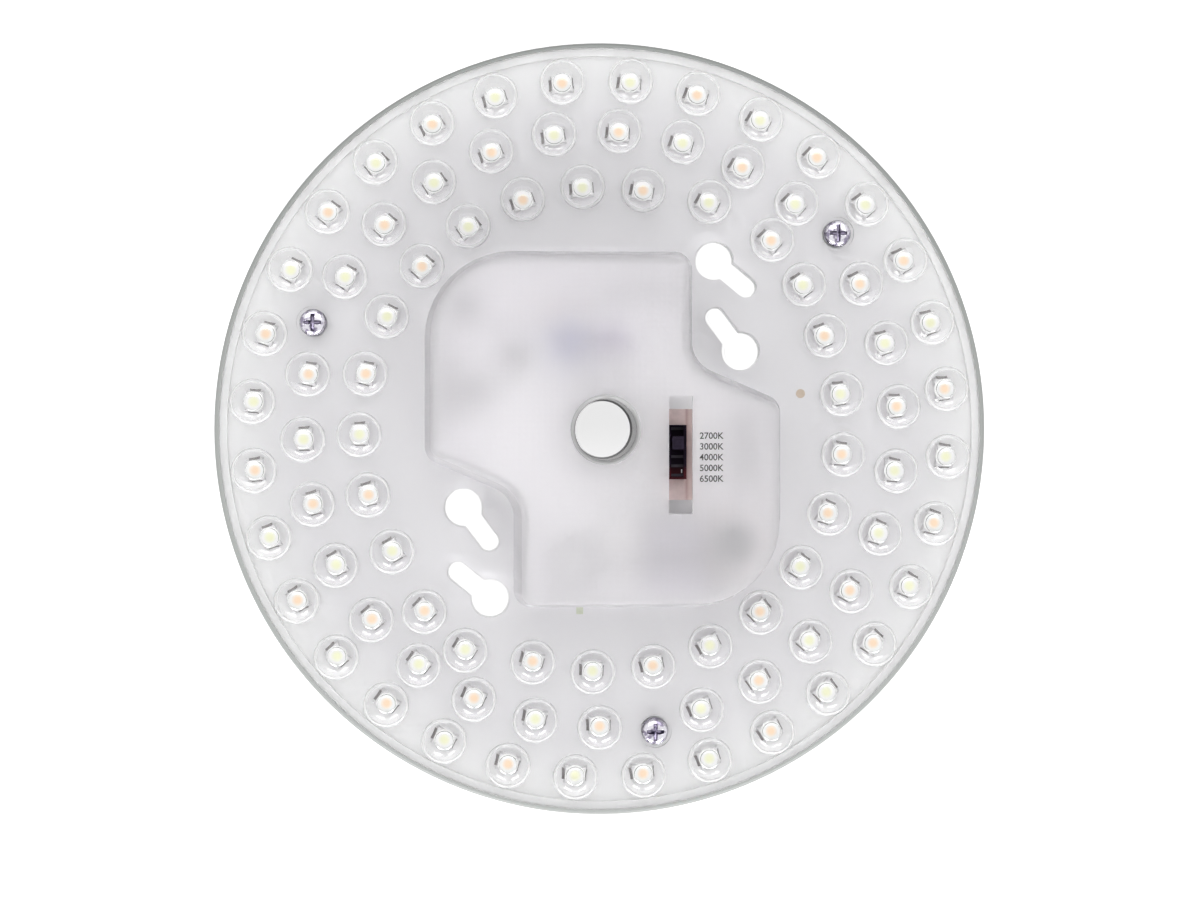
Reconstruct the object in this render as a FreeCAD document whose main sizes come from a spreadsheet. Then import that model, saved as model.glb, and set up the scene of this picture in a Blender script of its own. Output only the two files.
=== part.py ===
"""A round LED ceiling light module, in millimetres.

The origin is the centre of the flat back. +Z points out of the lens side, +Y is the top of the face.
The stack from the back is base plate, LED board and clear lens cover, held by three screws.
The cover's square dome stands over the driver parts and has a window for the colour switch.
"""

import FreeCAD
import Part
import math
import os
import Sketcher

V = FreeCAD.Vector
UP = V(0, 0, 1)

SIZES = {
    # Stack
    "plate_thick": 1.0,
    "board_thick": 1.0,
    "lens_wall": 1.6,
    "flange_top": 5.0,
    # Discs
    "cover_radius": 84.5,
    "skirt_wall": 1.4,
    "skirt_foot": 0.2,
    "skirt_slope": 0.3,
    "rim_edge": 0.8,
    "plate_gap": 0.3,
    "board_gap": 0.8,
    "ledge_width": 1.6,
    # Dome over the driver, a square with two opposite corners stepped in
    "dome_top": 17.5,
    "dome_wall": 1.6,
    "dome_half": 38.8,
    "dome_neck": 19.5,
    "shoulder_y": 14.6,
    "shoulder_angle": 23.3,
    "dome_draft": 8.0,
    "dome_edge": 1.2,
    "big_corner": 19.2,
    "neck_corner": 4.0,
    "shoulder_corner": 4.0,
    "inner_corner": 6.8,
    # Centre hole
    "plate_bore": 6.2,
    "bore_radius": 6.5,
    "sleeve_wall": 1.0,
    "bore_lip": 1.0,
    "hole_gap": 0.3,
    # Keyholes for ceiling box screws
    "outer_pair_radius": 44.45,
    "inner_pair_radius": 34.93,
    "pair_angle": 44.6,
    "outer_head_turn": 11.8,
    "inner_head_turn": -15.2,
    "head_radius": 3.8,
    "slot_radius": 1.87,
    "slot_blend": 0.8,
    "keyhole_gap": 0.25,
    # Cover screws
    "screw_ring": 67.0,
    "screw_angle": 39.8,
    "screw_count": 3,
    "screw_radius": 1.5,
    "screw_gap": 0.05,
    "screw_end": 0.3,
    "head_radius_out": 2.95,
    "head_tall": 2.0,
    "head_round": 1.2,
    "seat_radius": 3.6,
    "seat_deep": 0.6,
    "collar_radius": 2.6,
    "collar_gap": 0.4,
    "cross_long": 3.4,
    "cross_wide": 0.6,
    "cross_deep": 1.1,
    # Lenses and LEDs
    "outer_ring": 76.1,
    "outer_count": 32,
    "outer_first": -4.55,
    "middle_ring": 65.1,
    "middle_step": 12.5,
    "middle_lead": 9.6,
    "middle_run": 9,
    "inner_ring": 53.0,
    "inner_count": 25,
    "inner_first": -6.0,
    "moved_one_radius": 54.3,
    "moved_one_angle": 35.7,
    "moved_two_radius": 55.6,
    "moved_two_angle": 48.2,
    "moved_three_radius": 54.9,
    "moved_three_angle": 64.9,
    "moved_four_radius": 55.5,
    "moved_four_angle": 225.5,
    "moved_five_radius": 56.7,
    "moved_five_angle": 238.0,
    "lens_radius": 4.9,
    "lens_step_radius": 3.9,
    "lens_top_radius": 1.9,
    "lens_step": 1.3,
    "lens_tall": 2.0,
    "led_long": 3.5,
    "led_wide": 2.8,
    "led_tall": 0.75,
    "phosphor_long": 2.5,
    "phosphor_wide": 2.1,
    "phosphor_tall": 0.1,
    # Switch window, riser board and switch
    "window_x": 15.95,
    "window_y": -5.4,
    "window_wide": 5.1,
    "window_long": 25.1,
    "riser_y": -5.37,
    "riser_wide": 6.6,
    "riser_long": 19.6,
    "riser_thick": 1.2,
    "riser_top": 11.0,
    "switch_x": 15.45,
    "switch_y": -4.8,
    "switch_wide": 3.9,
    "switch_long": 11.6,
    "switch_tall": 3.6,
    "switch_floor": 0.8,
    "switch_roof": 0.6,
    "cavity_wide": 3.3,
    "slot_wide": 2.7,
    "step_length": 2.0,
    "knob_long": 2.8,
    "knob_gap": 0.1,
    "knob_top": 16.6,
    "wiper_thick": 0.25,
    "terminal_count": 6,
    "terminal_wide": 0.6,
    "terminal_thick": 0.25,
    "pin_count": 2,
    "pin_pitch": 2.54,
    "pin_wide": 0.64,
    "pin_gap": 0.03,
    "header_wide": 2.5,
    "header_inset": 1.0,
    # Wire entry
    "wire_x": -6.3,
    "wire_y": -29.4,
    "wire_hole": 4.5,
    "grommet_bore": 3.0,
    "grommet_flange": 6.0,
    "grommet_tall": 2.6,
    "grommet_gap": 0.1,
    # Driver parts
    "terminal_block_x": 4.3,
    "terminal_block_y": -24.0,
    "terminal_block_long": 8.0,
    "terminal_block_wide": 6.5,
    "terminal_block_tall": 4.2,
    "wire_mouth": 2.4,
    "mouth_pitch": 3.2,
    "mouth_count": 2,
    "fuse_x": 4.5,
    "fuse_y": -31.5,
    "fuse_long": 7.0,
    "fuse_radius": 1.5,
    "fuse_cap": 1.3,
    "varistor_x": -7.5,
    "varistor_y": 19.0,
    "varistor_radius": 4.6,
    "varistor_thick": 3.6,
    "varistor_lead": 3.0,
    "varistor_pitch": 5.0,
    "rectifier_x": -19.5,
    "rectifier_y": 16.0,
    "rectifier_long": 4.7,
    "rectifier_wide": 3.9,
    "rectifier_tall": 2.4,
    "choke_x": 28.0,
    "choke_y": -24.4,
    "choke_flange": 4.4,
    "choke_waist": 2.4,
    "choke_tall": 9.0,
    "choke_lip": 1.2,
    "winding_radius": 3.9,
    "reservoir_x": 15.5,
    "reservoir_y": -23.3,
    "reservoir_radius": 4.0,
    "reservoir_long": 13.0,
    "reservoir_pitch": -8.4,
    "film_x": 2.0,
    "film_y": 19.5,
    "film_long": 7.5,
    "film_wide": 5.0,
    "film_tall": 8.0,
    "chip_long": 4.9,
    "chip_wide": 3.9,
    "chip_tall": 1.5,
    "chip_x": -30.0,
    "chip_y": 26.0,
    "second_chip_x": -27.0,
    "second_chip_y": 8.0,
    "third_chip_x": 24.6,
    "third_chip_y": -32.4,
    "lead_pitch": 1.27,
    "lead_count": 4,
    "lead_wide": 0.42,
    "lead_thick": 0.2,
    "lead_reach": 1.0,
    "resistor_long": 3.1,
    "resistor_wide": 1.6,
    "resistor_tall": 0.6,
    "resistor_pitch": 3.0,
    "resistor_count": 5,
    "resistor_x": -33.0,
    "resistor_y": 15.0,
    "second_resistor_x": 2.0,
    "second_resistor_y": 30.0,
    "capacitor_long": 2.0,
    "capacitor_wide": 1.25,
    "capacitor_tall": 1.0,
    "capacitor_pitch": 3.2,
    "capacitor_count": 4,
    "capacitor_x": -14.0,
    "capacitor_y": 26.5,
    "diode_long": 4.3,
    "diode_wide": 2.6,
    "diode_tall": 2.1,
    "diode_pitch": -5.0,
    "diode_count": 3,
    "diode_x": 31.0,
    "diode_y": 1.0,
}

# LEDs of the inner ring that are moved outwards to clear the keyholes, by their place in the ring
MOVED = {3: "moved_one", 4: "moved_two", 5: "moved_three", 16: "moved_four", 17: "moved_five"}
LENS_SIDES = 8

doc = FreeCAD.newDocument("ceiling_light_module")
sheet = doc.addObject("Spreadsheet::Sheet", "Sizes")
for row, (alias, number) in enumerate(SIZES.items(), start=1):
    sheet.set("A%d" % row, alias.replace("_", " "))
    sheet.set("B%d" % row, str(number))
    sheet.setAlias("B%d" % row, alias)
doc.recompute()

LEVELS = {
    "board_top": "Sizes.plate_thick + Sizes.board_thick",
    "under": "Sizes.flange_top - Sizes.lens_wall",
    "roof": "Sizes.dome_top - Sizes.dome_wall",
    "plate_radius": "Sizes.cover_radius - Sizes.skirt_wall - Sizes.plate_gap",
    "board_radius": "Sizes.cover_radius - Sizes.skirt_wall - Sizes.board_gap",
}
BOARD_TOP = "(%s)" % LEVELS["board_top"]
UNDER = "(%s)" % LEVELS["under"]
ROOF = "(%s)" % LEVELS["roof"]
PLATE_RADIUS = "(%s)" % LEVELS["plate_radius"]
BOARD_RADIUS = "(%s)" % LEVELS["board_radius"]
ROUND = 360.0
NEAR = 0.1


def size(alias):
    return float(sheet.get(alias))


def value(expression):
    """The number that an expression on the sheet comes to."""
    result = sheet.evalExpression(str(expression).replace("Sizes.", ""))
    return float(getattr(result, "Value", result))


def polar(radius, angle, along="cos"):
    """An expression for one coordinate of a point given by radius and angle."""
    return "(%s) * %s(%s)" % (radius, along, angle)


def spot(radius, angle):
    return polar(radius, angle), polar(radius, angle, "sin")


# Sketches and features


def new_body(name):
    body = doc.addObject("PartDesign::Body", name)
    body.Label = name
    if hasattr(body, "AllowCompound"):
        body.AllowCompound = True
    return body


def origin_of(body, role):
    return [item for item in body.Origin.OriginFeatures if item.Role == role][0]


def new_sketch(body, name, level="0", role="XY_Plane"):
    sketch = body.newObject("Sketcher::SketchObject", name)
    sketch.AttachmentSupport = (origin_of(body, role), [""])
    sketch.MapMode = "FlatFace"
    if level != "0":
        sketch.setExpression("AttachmentOffset.Base.z", level)
    return sketch


def hold(sketch, kind, geometry, position, expression):
    """Fixes one coordinate of a sketch point to an expression."""
    axis = -2 if kind == "DistanceX" else -1
    if expression == "0":
        sketch.addConstraint(Sketcher.Constraint("PointOnObject", geometry, position, axis))
        return
    number = value(expression)
    index = sketch.addConstraint(Sketcher.Constraint(kind, -1, 1, geometry, position, number))
    sketch.setExpression("Constraints[%d]" % index, expression)


def draw_circle(sketch, x, y, radius):
    centre = V(value(x), value(y), 0)
    index = sketch.addGeometry(Part.Circle(centre, UP, value(radius)))
    limit = sketch.addConstraint(Sketcher.Constraint("Radius", index, value(radius)))
    sketch.setExpression("Constraints[%d]" % limit, radius)
    hold(sketch, "DistanceX", index, 3, x)
    hold(sketch, "DistanceY", index, 3, y)


def draw_outline(sketch, points):
    """A closed outline of straight lines through points given as pairs of expressions."""
    places = [V(value(x), value(y), 0) for x, y in points]
    lines = [Part.LineSegment(a, b) for a, b in zip(places, places[1:] + places[:1])]
    first = sketch.addGeometry(lines)[0]
    count = len(lines)
    joins = []
    for index in range(count):
        after = first + (index + 1) % count
        joins.append(Sketcher.Constraint("Coincident", first + index, 2, after, 1))
    sketch.addConstraint(joins)
    for index, (x, y) in enumerate(points):
        hold(sketch, "DistanceX", first + index, 1, x)
        hold(sketch, "DistanceY", first + index, 1, y)


def draw_slot(sketch, start, end, radius):
    """A slot with round ends about two points."""
    a = V(value(start[0]), value(start[1]), 0)
    b = V(value(end[0]), value(end[1]), 0)
    r = value(radius)
    along = (b - a).normalize()
    side = V(-along.y, along.x, 0) * r
    heading = math.atan2(along.y, along.x)
    quarter = math.pi / 2
    arc_a = Part.ArcOfCircle(Part.Circle(a, UP, r), heading + quarter, heading + 3 * quarter)
    arc_b = Part.ArcOfCircle(Part.Circle(b, UP, r), heading - quarter, heading + quarter)
    low = Part.LineSegment(a - side, b - side)
    high = Part.LineSegment(b + side, a + side)
    arc_1, line_1, arc_2, line_2 = sketch.addGeometry([arc_a, low, arc_b, high])
    joins = [
        Sketcher.Constraint("Tangent", arc_1, 2, line_1, 1),
        Sketcher.Constraint("Tangent", line_1, 2, arc_2, 1),
        Sketcher.Constraint("Tangent", arc_2, 2, line_2, 1),
        Sketcher.Constraint("Tangent", line_2, 2, arc_1, 1),
    ]
    sketch.addConstraint(joins)
    limit = sketch.addConstraint(Sketcher.Constraint("Radius", arc_1, r))
    sketch.setExpression("Constraints[%d]" % limit, radius)
    for arc, point in ((arc_1, start), (arc_2, end)):
        hold(sketch, "DistanceX", arc, 3, point[0])
        hold(sketch, "DistanceY", arc, 3, point[1])


def extrude(body, kind, name, sketch, length):
    feature = body.newObject("PartDesign::" + kind, name)
    feature.Profile = sketch
    feature.setExpression("Length", length)
    doc.recompute()
    return feature


def pad(body, name, sketch, length):
    return extrude(body, "Pad", name, sketch, length)


def pocket(body, name, sketch, length):
    """A cut that has to take something away."""
    before = body.Shape.Volume
    feature = extrude(body, "Pocket", name, sketch, length)
    if body.Shape.Volume >= before:
        raise RuntimeError("%s cuts nothing" % name)
    return feature


def revolve(body, name, sketch):
    feature = body.newObject("PartDesign::Revolution", name)
    feature.Profile = sketch
    feature.ReferenceAxis = (sketch, ["V_Axis"])
    feature.Angle = ROUND
    doc.recompute()
    return feature


def pattern(body, name, originals, count, turn=None):
    """Copies of features about Z: all the way round, or over the angle from the first to the last."""
    feature = body.newObject("PartDesign::PolarPattern", name)
    feature.Originals = originals
    feature.Axis = (origin_of(body, "Z_Axis"), [""])
    if turn is None:
        feature.Angle = ROUND
    else:
        feature.setExpression("Angle", turn)
    feature.setExpression("Occurrences", str(count))
    body.Tip = feature
    doc.recompute()
    return feature


def upright_edges(shape, places, reach):
    """The names of straight edges that rise near one of the places."""
    names = []
    for index, edge in enumerate(shape.Edges, start=1):
        low, high = edge.Vertexes[0].Point, edge.Vertexes[-1].Point
        rise = high - low
        if edge.Length > rise.Length * 1.001 or abs(rise.z) < 0.5 * rise.Length:
            continue
        middle = (low + high) * 0.5
        if any(math.hypot(middle.x - x, middle.y - y) < reach for x, y in places):
            names.append("Edge%d" % index)
    return names


def fillet(body, name, edges, radius):
    base = body.Tip
    feature = body.newObject("PartDesign::Fillet", name)
    feature.Base = (base, edges)
    feature.setExpression("Radius", radius)
    doc.recompute()
    return feature


def chamfer(body, name, edges, width):
    base = body.Tip
    feature = body.newObject("PartDesign::Chamfer", name)
    feature.Base = (base, edges)
    feature.setExpression("Size", width)
    doc.recompute()
    return feature


# Features that more than one layer shares

OUTER_SLOT = spot("Sizes.outer_pair_radius", "Sizes.pair_angle")
OUTER_HEAD = spot("Sizes.outer_pair_radius", "Sizes.pair_angle + Sizes.outer_head_turn")
INNER_SLOT = spot("Sizes.inner_pair_radius", "Sizes.pair_angle")
INNER_HEAD = spot("Sizes.inner_pair_radius", "Sizes.pair_angle + Sizes.inner_head_turn")


def cut_keyholes(body, level, depth, relief="0"):
    """Two pairs of keyholes, each pair opposite the other side of the centre."""
    cuts = []
    head = "Sizes.head_radius + %s" % relief
    slot = "Sizes.slot_radius + %s" % relief
    for name, narrow, wide in (("outer", OUTER_SLOT, OUTER_HEAD), ("inner", INNER_SLOT, INNER_HEAD)):
        sketch = new_sketch(body, name + "_head_outline", level)
        draw_circle(sketch, *wide, head)
        cuts.append(pocket(body, name + "_head", sketch, depth))
        sketch = new_sketch(body, name + "_slot_outline", level)
        draw_slot(sketch, narrow, wide, slot)
        cuts.append(pocket(body, name + "_slot", sketch, depth))
    pattern(body, "keyholes", cuts, 2)


def blend_keyholes(body):
    """Blends each slot of the cover into its head."""
    head = size("head_radius")
    slot = size("slot_radius")
    corners = []
    reach = math.sqrt(head**2 - slot**2)
    for narrow, wide in ((OUTER_SLOT, OUTER_HEAD), (INNER_SLOT, INNER_HEAD)):
        centre = V(value(wide[0]), value(wide[1]), 0)
        along = (V(value(narrow[0]), value(narrow[1]), 0) - centre).normalize()
        side = V(-along.y, along.x, 0)
        for sign in (-1, 1):
            corner = centre + along * reach + side * (sign * slot)
            corners += [(corner.x, corner.y), (-corner.x, -corner.y)]
    edges = upright_edges(body.Shape, corners, 0.1)
    fillet(body, "slot_blends", edges, "Sizes.slot_blend")


def led_places():
    """Each LED as (x, y, angle, warm), ring by ring."""
    places = []

    def add(radius, angle, warm):
        turn = math.radians(angle)
        places.append((radius * math.cos(turn), radius * math.sin(turn), angle, warm))

    count = int(size("outer_count"))
    for n in range(count):
        add(size("outer_ring"), size("outer_first") + n * ROUND / count, n % 2 == 1)
    run = int(size("middle_run"))
    groups = int(size("screw_count"))
    for group in range(groups):
        start = size("screw_angle") + size("middle_lead") + group * ROUND / groups
        for n in range(run):
            # the colours alternate from the sixth lens of the last group
            place = (group * run + n + run // 2) % (run * groups)
            add(size("middle_ring"), start + n * size("middle_step"), place % 2 == 1)
    count = int(size("inner_count"))
    for n in range(count):
        radius = size("inner_ring")
        angle = size("inner_first") + n * ROUND / count
        if n in MOVED:
            radius = size(MOVED[n] + "_radius")
            angle = size(MOVED[n] + "_angle")
        add(radius, angle, n % 2 == 0)
    return places


# Base plate: a flat stamped disc with three drawn collars that the cover is screwed down on


def make_base_plate():
    body = new_body("base_plate")
    disc = new_sketch(body, "plate_outline")
    draw_circle(disc, "0", "0", PLATE_RADIUS)
    draw_circle(disc, "0", "0", "Sizes.plate_bore")
    draw_circle(disc, "Sizes.wire_x", "Sizes.wire_y", "Sizes.wire_hole")
    pad(body, "plate", disc, "Sizes.plate_thick")
    collar = new_sketch(body, "collar_outline", "Sizes.plate_thick")
    place = spot("Sizes.screw_ring", "Sizes.screw_angle")
    draw_circle(collar, *place, "Sizes.collar_radius")
    first = pad(body, "collar", collar, "%s - Sizes.plate_thick" % UNDER)
    tapping = new_sketch(body, "tapping_outline", UNDER)
    draw_circle(tapping, *place, "Sizes.screw_radius + Sizes.screw_gap")
    bore = pocket(body, "tapping", tapping, UNDER)
    pattern(body, "collars", [first, bore], "Sizes.screw_count")
    cut_keyholes(body, "Sizes.plate_thick", "Sizes.plate_thick", "Sizes.keyhole_gap")
    return body


# LED board: a white aluminium-cored disc


def make_led_board():
    body = new_body("led_board")
    disc = new_sketch(body, "board_outline", "Sizes.plate_thick")
    draw_circle(disc, "0", "0", BOARD_RADIUS)
    draw_circle(disc, "0", "0", "Sizes.bore_radius + Sizes.sleeve_wall + Sizes.hole_gap")
    draw_circle(disc, "Sizes.wire_x", "Sizes.wire_y", "Sizes.grommet_flange + Sizes.hole_gap")
    pad(body, "board", disc, "Sizes.board_thick")
    hole = new_sketch(body, "collar_hole_outline", BOARD_TOP)
    place = spot("Sizes.screw_ring", "Sizes.screw_angle")
    draw_circle(hole, *place, "Sizes.collar_radius + Sizes.collar_gap")
    first = pocket(body, "collar_hole", hole, "Sizes.board_thick")
    pattern(body, "collar_holes", [first], "Sizes.screw_count")
    cut_keyholes(body, BOARD_TOP, "Sizes.board_thick", "Sizes.keyhole_gap * 2")
    return body


# Lens cover: one clear moulding


def dome_outline(inset="0"):
    """The dome's outline, moved in by an inset: the upper right half, then the same turned half round."""
    tilt = "tan(Sizes.shoulder_angle)"
    drop = "(%s) / cos(Sizes.shoulder_angle)" % inset
    half = "(Sizes.dome_half - (%s))" % inset
    neck = "(Sizes.dome_neck - (%s))" % inset
    crook = "Sizes.shoulder_y + (%s) * %s - %s" % (inset, tilt, drop)
    corner = "Sizes.shoulder_y - (%s - Sizes.dome_neck) * %s - %s" % (half, tilt, drop)
    upper = [(neck, half), (neck, crook), (half, corner), (half, "-" + half)]
    lower = [("-(%s)" % x, "-(%s)" % y) for x, y in upper]
    return upper + lower


def dome_block(body, name, inset, top, foot, inside):
    """A drafted block with the dome's rounded upright corners. Inside, its radii follow the wall."""
    outline = new_sketch(body, name + "_outline", foot)
    draw_outline(outline, dome_outline(inset))
    pad(body, name, outline, "%s - %s" % (top, foot))
    points = [(value(x), value(y)) for x, y in dome_outline(inset)]
    least = "(%s - %s) * tan(Sizes.dome_draft) + Sizes.dome_edge" % (top, foot)
    steps = (
        ("neck", "Sizes.neck_corner", -inside),
        ("crook", "Sizes.inner_corner", inside),
        ("shoulder", "Sizes.shoulder_corner", -inside),
        ("big", "Sizes.big_corner", -inside),
    )
    for index, (corner, radius, grows) in enumerate(steps):
        places = [points[index], points[index + len(steps)]]
        edges = upright_edges(body.Shape, places, NEAR)
        wanted = "%s + Sizes.dome_wall * %d" % (radius, grows)
        fillet(body, "%s_%s" % (name, corner), edges, "max(%s; %s)" % (wanted, least))
    lean(body, name + "_draft", foot, top)


def lean(body, name, foot, top):
    """Drafts the faces that rise from the foot to the top, as a mould needs."""
    rising = []
    for index, face in enumerate(body.Shape.Faces, start=1):
        box = face.BoundBox
        if abs(box.ZMin - value(foot)) < NEAR and abs(box.ZMax - value(top)) < NEAR:
            rising.append("Face%d" % index)
    plane = body.newObject("PartDesign::Plane", name + "_plane")
    plane.AttachmentSupport = (origin_of(body, "XY_Plane"), [""])
    plane.MapMode = "FlatFace"
    plane.setExpression("AttachmentOffset.Base.z", foot)
    doc.recompute()
    base = body.Tip
    feature = body.newObject("PartDesign::Draft", name)
    feature.Base = (base, rising)
    feature.NeutralPlane = (plane, [""])
    feature.setExpression("Angle", "Sizes.dome_draft")
    doc.recompute()
    return feature


def top_edges(shape, level, half, inner):
    """Edges that lie flat at a level, within the dome and clear of the centre hole."""
    names = []
    for index, edge in enumerate(shape.Edges, start=1):
        box = edge.BoundBox
        if abs(box.ZMin - level) > NEAR or abs(box.ZMax - level) > NEAR:
            continue
        far = max(abs(box.XMin), abs(box.XMax), abs(box.YMin), abs(box.YMax))
        if inner < far < half:
            names.append("Edge%d" % index)
    return names


def tier(radius, level):
    """A level polygon whose flats lie on a circle of the radius."""
    reach = radius / math.cos(math.pi / LENS_SIDES)
    turns = [2 * math.pi * (n + 0.5) / LENS_SIDES for n in range(LENS_SIDES)]
    return [V(reach * math.cos(turn), reach * math.sin(turn), level) for turn in turns]


def lens_solid():
    """A lens dome in two flat-sided tiers, standing on the flange."""
    foot = size("flange_top")
    rings = [
        tier(size("lens_radius"), foot),
        tier(size("lens_step_radius"), foot + size("lens_step")),
        tier(size("lens_top_radius"), foot + size("lens_tall")),
    ]
    loops = [rings[0][::-1], rings[-1]]
    for low, high in zip(rings, rings[1:]):
        for n in range(LENS_SIDES):
            after = (n + 1) % LENS_SIDES
            loops.append([low[n], low[after], high[after], high[n]])
    faces = [Part.Face(Part.makePolygon(loop + loop[:1])) for loop in loops]
    return Part.Solid(Part.makeShell(faces))


def placed(solid, x, y, angle):
    copy = solid.copy()
    copy.rotate(V(0, 0, 0), UP, angle)
    copy.translate(V(x, y, 0))
    return copy


def lens_solids():
    lens = lens_solid()
    return [placed(lens, x, y, turn) for x, y, turn, _ in led_places()]


def make_lens_cover():
    body = new_body("cover_shell")
    inside = "Sizes.cover_radius - Sizes.skirt_wall"
    ledge = "%s - Sizes.ledge_width" % inside
    section = new_sketch(body, "cover_section", role="XZ_Plane")
    draw_outline(
        section,
        [
            ("0", UNDER),
            (ledge, UNDER),
            (ledge, BOARD_TOP),
            (inside, BOARD_TOP),
            (inside, "Sizes.skirt_foot"),
            ("Sizes.cover_radius", "Sizes.skirt_foot"),
            ("Sizes.cover_radius - Sizes.skirt_slope", "Sizes.flange_top - Sizes.rim_edge"),
            ("Sizes.cover_radius - Sizes.skirt_slope - Sizes.rim_edge", "Sizes.flange_top"),
            ("0", "Sizes.flange_top"),
        ],
    )
    revolve(body, "flange", section)

    dome_block(body, "dome", "0", "Sizes.dome_top", "Sizes.flange_top", 0)
    top = top_edges(body.Shape, size("dome_top"), size("dome_half"), 0)
    chamfer(body, "dome_edge", top, "Sizes.dome_edge")
    core = new_body("dome_core")
    dome_block(core, "core", "Sizes.dome_wall / cos(Sizes.dome_draft)", ROOF, UNDER, 1)
    room = body.newObject("PartDesign::Boolean", "room")
    room.setObjects([core])
    room.Type = "Cut"
    doc.recompute()

    sleeve = new_sketch(body, "sleeve_outline", "Sizes.plate_thick")
    draw_circle(sleeve, "0", "0", "Sizes.bore_radius + Sizes.sleeve_wall")
    pad(body, "sleeve", sleeve, "%s - Sizes.plate_thick + Sizes.dome_wall / 2" % ROOF)
    bore = new_sketch(body, "bore_outline", "Sizes.dome_top")
    draw_circle(bore, "0", "0", "Sizes.bore_radius")
    pocket(body, "bore", bore, "Sizes.dome_top")
    lip = top_edges(body.Shape, size("dome_top"), size("bore_radius") + 1, 0)
    chamfer(body, "bore_edge", lip, "Sizes.bore_lip")

    window = new_sketch(body, "window_outline", "Sizes.dome_top")
    left = "Sizes.window_x - Sizes.window_wide / 2"
    right = "Sizes.window_x + Sizes.window_wide / 2"
    low = "Sizes.window_y - Sizes.window_long / 2"
    high = "Sizes.window_y + Sizes.window_long / 2"
    draw_outline(window, [(left, low), (right, low), (right, high), (left, high)])
    pocket(body, "window", window, "Sizes.dome_wall")

    place = spot("Sizes.screw_ring", "Sizes.screw_angle")
    seat = new_sketch(body, "seat_outline", "Sizes.flange_top")
    draw_circle(seat, *place, "Sizes.seat_radius")
    first_seat = pocket(body, "seat", seat, "Sizes.seat_deep")
    hole = new_sketch(body, "screw_hole_outline", "Sizes.flange_top")
    draw_circle(hole, *place, "Sizes.screw_radius + Sizes.screw_gap * 3")
    first_hole = pocket(body, "screw_hole", hole, "Sizes.lens_wall")
    pattern(body, "screw_seats", [first_seat, first_hole], "Sizes.screw_count")

    cut_keyholes(body, "Sizes.flange_top", "Sizes.lens_wall")
    blend_keyholes(body)
    cover = doc.addObject("Part::Feature", "lens_cover")
    cover.Shape = body.Shape.Solids[0].fuse(lens_solids())
    return cover


# Cover screws: pan heads with a cross recess


def make_cover_screws():
    body = new_body("cover_screws")
    body.Placement = FreeCAD.Placement(V(), FreeCAD.Rotation(UP, ROUND / 4))
    body.setExpression("Placement.Rotation.Angle", "Sizes.screw_angle")
    seat = "(Sizes.flange_top - Sizes.seat_deep)"
    top = "(%s + Sizes.head_tall)" % seat
    section = new_sketch(body, "screw_section", role="XZ_Plane")
    section.setExpression("AttachmentOffset.Base.x", "Sizes.screw_ring")
    draw_outline(
        section,
        [
            ("0", "Sizes.screw_end"),
            ("Sizes.screw_radius", "Sizes.screw_end"),
            ("Sizes.screw_radius", seat),
            ("Sizes.head_radius_out", seat),
            ("Sizes.head_radius_out", "%s - Sizes.head_round" % top),
            ("Sizes.head_radius_out - Sizes.head_round", top),
            ("0", top),
        ],
    )
    first = revolve(body, "screw", section)
    cross = new_sketch(body, "cross_outline", top)
    arm = "Sizes.cross_long / 2"
    side = "Sizes.cross_wide / 2"
    quarter = [(arm, "-" + side), (arm, side), (side, side)]
    corners = []
    for _ in range(4):
        corners += quarter
        quarter = [("-(%s)" % y, x) for x, y in quarter]
    draw_outline(cross, [("Sizes.screw_ring + (%s)" % x, y) for x, y in corners])
    recess = pocket(body, "cross", cross, "Sizes.cross_deep")
    pattern(body, "screws", [first, recess], "Sizes.screw_count")
    return body


# LEDs: a white package with a phosphor face, its long side along the ring


def make_led_set(name, warm, long, wide, level, tall):
    block = Part.makeBox(wide, long, tall, V(-wide / 2, -long / 2, level))
    leds = doc.addObject("Part::Feature", name)
    leds.Shape = Part.makeCompound(
        [placed(block, x, y, turn) for x, y, turn, is_warm in led_places() if is_warm == warm]
    )
    return leds


def make_leds():
    parts = []
    top = value(BOARD_TOP)
    package = (size("led_long"), size("led_wide"), top, size("led_tall"))
    face = (size("phosphor_long"), size("phosphor_wide"), top + size("led_tall"), size("phosphor_tall"))
    for tone, warm in (("warm", True), ("cool", False)):
        parts.append(make_led_set(tone + "_led_packages", warm, *package))
        parts.append(make_led_set(tone + "_led_phosphor", warm, *face))
    return parts


# Boxes and rods for the driver, each bound to the sheet


def bind(item, **bounds):
    for name, expression in bounds.items():
        item.setExpression(name.replace("at_", "Placement.Base."), expression)
    return item


def box(x, y, z, wide, long, tall):
    """A box centred on x and y that stands on z."""
    item = doc.addObject("Part::Box", "box")
    left = "%s - (%s) / 2" % (x, wide)
    low = "%s - (%s) / 2" % (y, long)
    return bind(item, Length=wide, Width=long, Height=tall, at_x=left, at_y=low, at_z=z)


def rod(x, y, z, radius, tall):
    """An upright rod that stands on z."""
    item = doc.addObject("Part::Cylinder", "rod")
    return bind(item, Radius=radius, Height=tall, at_x=x, at_y=y, at_z=z)


def bar(x, y, z, radius, long):
    """A rod along X, centred on x, y and z."""
    item = doc.addObject("Part::Cylinder", "bar")
    item.Placement = FreeCAD.Placement(V(), FreeCAD.Rotation(V(0, 1, 0), ROUND / 4))
    left = "%s - (%s) / 2" % (x, long)
    return bind(item, Radius=radius, Height=long, at_x=left, at_y=y, at_z=z)


def join(name, items):
    fused = doc.addObject("Part::MultiFuse", name)
    fused.Shapes = items
    return fused


def group(name, items):
    """Several loose pieces kept as one node."""
    held = doc.addObject("Part::Compound", name)
    held.Links = items
    return held


def cut(name, base, tools):
    left = doc.addObject("Part::Cut", name)
    left.Base = base
    left.Tool = tools[0] if len(tools) == 1 else group(name + "_cuts", tools)
    return left


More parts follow.
